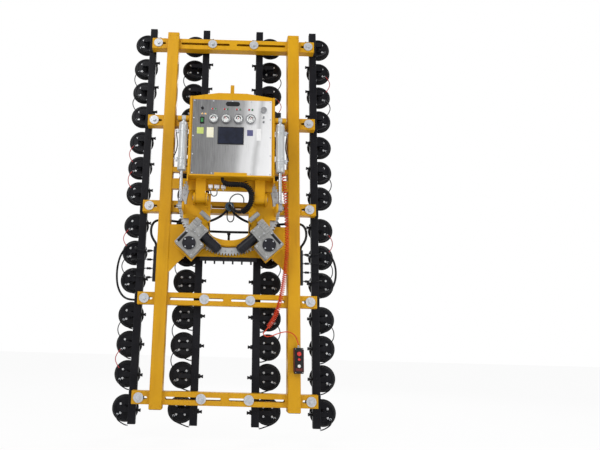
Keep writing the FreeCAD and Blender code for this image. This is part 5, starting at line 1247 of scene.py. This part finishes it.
cabinet = {
    "rim": [((-442, -324, 242), (-426, -310, 1114)), ((426, -324, 242), (442, -310, 1114)),
            ((-440, -324, 236), (440, -310, 252)), ((-172, -326, 238), (164, -310, 276))],
    "weldX": 438, "weldDepth": -120, "weldHeights": (1022, 1114),
    "valves": [(-205, 44), (-140, 52), (-72, 48)],
    "fitting": [(0, 0), (9, 0), (9, 10), (6, 12), (6, 20), (0, 20)],
    "cables": [
        [(-205, -190, 124), (-205, -190, 84), (-172, -188, 52), (-130, -188, 76), (-140, -190, 124)],
        [(-60, -196, 226), (-20, -204, 196), (40, -200, 214), (110, -198, 202), (170, -196, 226)],
        [(-30, -186, 206), (20, -190, 190), (70, -192, 206), (130, -190, 192), (190, -186, 210)]],
}


def cabinetTrim():
    chance = random.Random(5)
    rim, beads, valves, fittings, cables = meshes(5)
    for low, high in cabinet["rim"]:
        box(rim, 0, low, high, 2)
    for side in sides.values():
        low, high = (at(side * cabinet["weldX"], cabinet["weldDepth"], z) for z in cabinet["weldHeights"])
        bead(beads, low, high, chance)
    for x, wide in cabinet["valves"]:
        box(valves, x, (-wide / 2, -210, 142), (wide / 2, -164, 176), 2)
        turned(fittings, cabinet["fitting"], at(x, -190, 142), -upward, 12)
    for route in cabinet["cables"]:
        swept(cables, routeLine(route, 10), 0.005, 8)
    piece("cabinetRim", rim, "yoke", "amberPaint", "frame_paint")
    piece("cabinetBeads", beads, "yoke", "amberPaint", "frame_paint", 60)
    piece("beamValves", valves, "yoke", "whiteGloss", "button_white")
    piece("beamFittings", fittings, "yoke", "zincPlate", "zinc_steel")
    piece("beamCables", cables, "yoke", "hoseRubber", "hose_rubber")


gaugesTrim()
lampsTrim()
panelPlates()
cabinetTrim()
print("cabinet done")


# pendant

pendant = {
    "x": 725, "front": -78, "top": -1455, "buttons": [(-1513, 22), (-1567, 13), (-1631, 15)],
    "guardX": 46, "screwX": 34, "screwHeights": (-1466, -1694),
    "screw": [(0, 1.6), (2.4, 1.6), (2.6, 2.8), (4.6, 2.6), (5.4, 0)],
}


def pendantTrim():
    rings, guard, screws, boot = meshes(4)
    x, front = pendant["x"], pendant["front"]
    for height, radius in pendant["buttons"]:
        inner, outer = radius + 0.4, radius + 7
        turned(rings, [(inner, 0), (outer, 0), (outer, 1.6), (radius + 4, 3), (inner, 3)],
               at(x, front, height), forward, 28)
    for side in (-1, 1):
        box(guard, x + side * pendant["guardX"], (-3, front - 2, -1690), (3, -10, -1470), 2)
        for height in pendant["screwHeights"]:
            turned(screws, pendant["screw"], at(x + side * pendant["screwX"], front, height), forward, 12)
    box(guard, x, (-34, front - 1.2, -1680), (34, front, -1652), 0.8)
    for step in range(5):
        inner, outer = step * 0.9, 13.4 - step * 1.2
        turned(boot, [(10.8 - inner, 0), (outer, 1), (outer, 3.4), (10.6 - inner, 4.4)],
               at(x, -43, pendant["top"] + step * 5), upward, 20)
    piece("pendantRings", rings, "carrier", "plugBlack", "case_black")
    piece("pendantGuards", guard, "carrier", "guardRed", "case_black")
    piece("pendantScrews", screws, "carrier", "pinSteel", "pin_steel")
    # the boot in the lighter zinc with a painted highlight
    piece("pendantBoot", boot, "carrier", "zincPaintedHighlight", "zinc_steel")


pendantTrim()
print("pendant done")


# stage, light and camera

stage = {"floor": -3.72, "size": 30, "tone": (0.88, 0.88, 0.88), "whiteShare": 0.93, "sky": 0.42}


def directRays(tree):
    # one for rays that come from the camera, also by way of a mirror or glass
    rays = tree.nodes.new("ShaderNodeLightPath").outputs
    seen = mathOf(tree, "MAXIMUM", rays["Is Camera Ray"], rays["Is Glossy Ray"])
    return mathOf(tree, "MAXIMUM", seen, rays["Is Transmission Ray"])


def floorMaterial():
    material, tree, shader = newMaterial("paleFloor")
    wire(tree, shader, {"Base Color": (*stage["tone"], 1), "Roughness": 0.9})
    glow = tree.nodes.new("ShaderNodeEmission")
    share = mathOf(tree, "MULTIPLY", directRays(tree), stage["whiteShare"])
    mix = nodeOf(tree, "MixShader", {"Fac": share, 1: shader.outputs["BSDF"], 2: glow.outputs["Emission"]})
    wire(tree, tree.nodes["Material Output"], {"Surface": mix.outputs["Shader"]})
    return material


def makeStage():
    mesh = bmesh.new()
    bmesh.ops.create_grid(mesh, x_segments=1, y_segments=1, size=stage["size"])
    data = bpy.data.meshes.new("floor")
    mesh.to_mesh(data)
    mesh.free()
    data.materials.append(floorMaterial())
    floor = addObject("floor", data)
    floor.location = (0, 0, stage["floor"])
    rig.stage(floor)

    world = bpy.data.worlds.new("studioSky")
    bpy.context.scene.world = world
    world.use_nodes = True
    tree = world.node_tree
    strength = spreadOf(tree, directRays(tree), 0, 1, stage["sky"], 1.0)
    wire(tree, tree.nodes["Background"], {"Color": (1, 1, 1, 1), "Strength": strength})


lamps = {
    "key": {"place": (-4.2, -5.4, 2.6), "aim": (0, 0, -1.3), "size": 4.0, "power": 300},
    "fill": {"place": (5.2, -5.0, -0.6), "aim": (0, 0, -1.5), "size": 4.5, "power": 172},
    "low": {"place": (-0.5, -6.0, -3.4), "aim": (0, 0, -1.8), "size": 3.0, "power": 36},
    "rear": {"place": (2.5, 5.5, 2.0), "aim": (0, 0, -1.0), "size": 4.0, "power": 220},
}


def makeLamps():
    for name, lamp in lamps.items():
        data = bpy.data.lights.new(name, "AREA")
        data.shape = "SQUARE"
        data.size = lamp["size"]
        data.energy = lamp["power"]
        made = addObject(name, data)
        made.location = lamp["place"]
        aim = Vector(lamp["aim"]) - Vector(lamp["place"])
        made.rotation_euler = aim.to_track_quat("-Z", "Y").to_euler()


viewpoint = {
    "place": (-0.097, -5.437, -2.732), "angles": (102.384, -1.492, -0.565), "lens": 31.82, "shiftX": 0.1298,
}


def makeCamera():
    data = bpy.data.cameras.new("photoCamera")
    data.lens = viewpoint["lens"]
    data.sensor_width = 36
    data.sensor_fit = "HORIZONTAL"
    data.shift_x = viewpoint["shiftX"]
    data.clip_end = 100
    made = addObject("photoCamera", data)
    made.location = viewpoint["place"]
    made.rotation_euler = [math.radians(angle) for angle in viewpoint["angles"]]
    bpy.context.scene.camera = made


makeStage()
makeLamps()
makeCamera()
bpy.context.scene.view_settings.view_transform = "Standard"
print("stage done")

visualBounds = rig.bounds()
with open("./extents.json", "w") as sizeFile:
    json.dump({"cad": [list(corner) for corner in cadBounds],
               "visual": [list(corner) for corner in visualBounds]}, sizeFile)
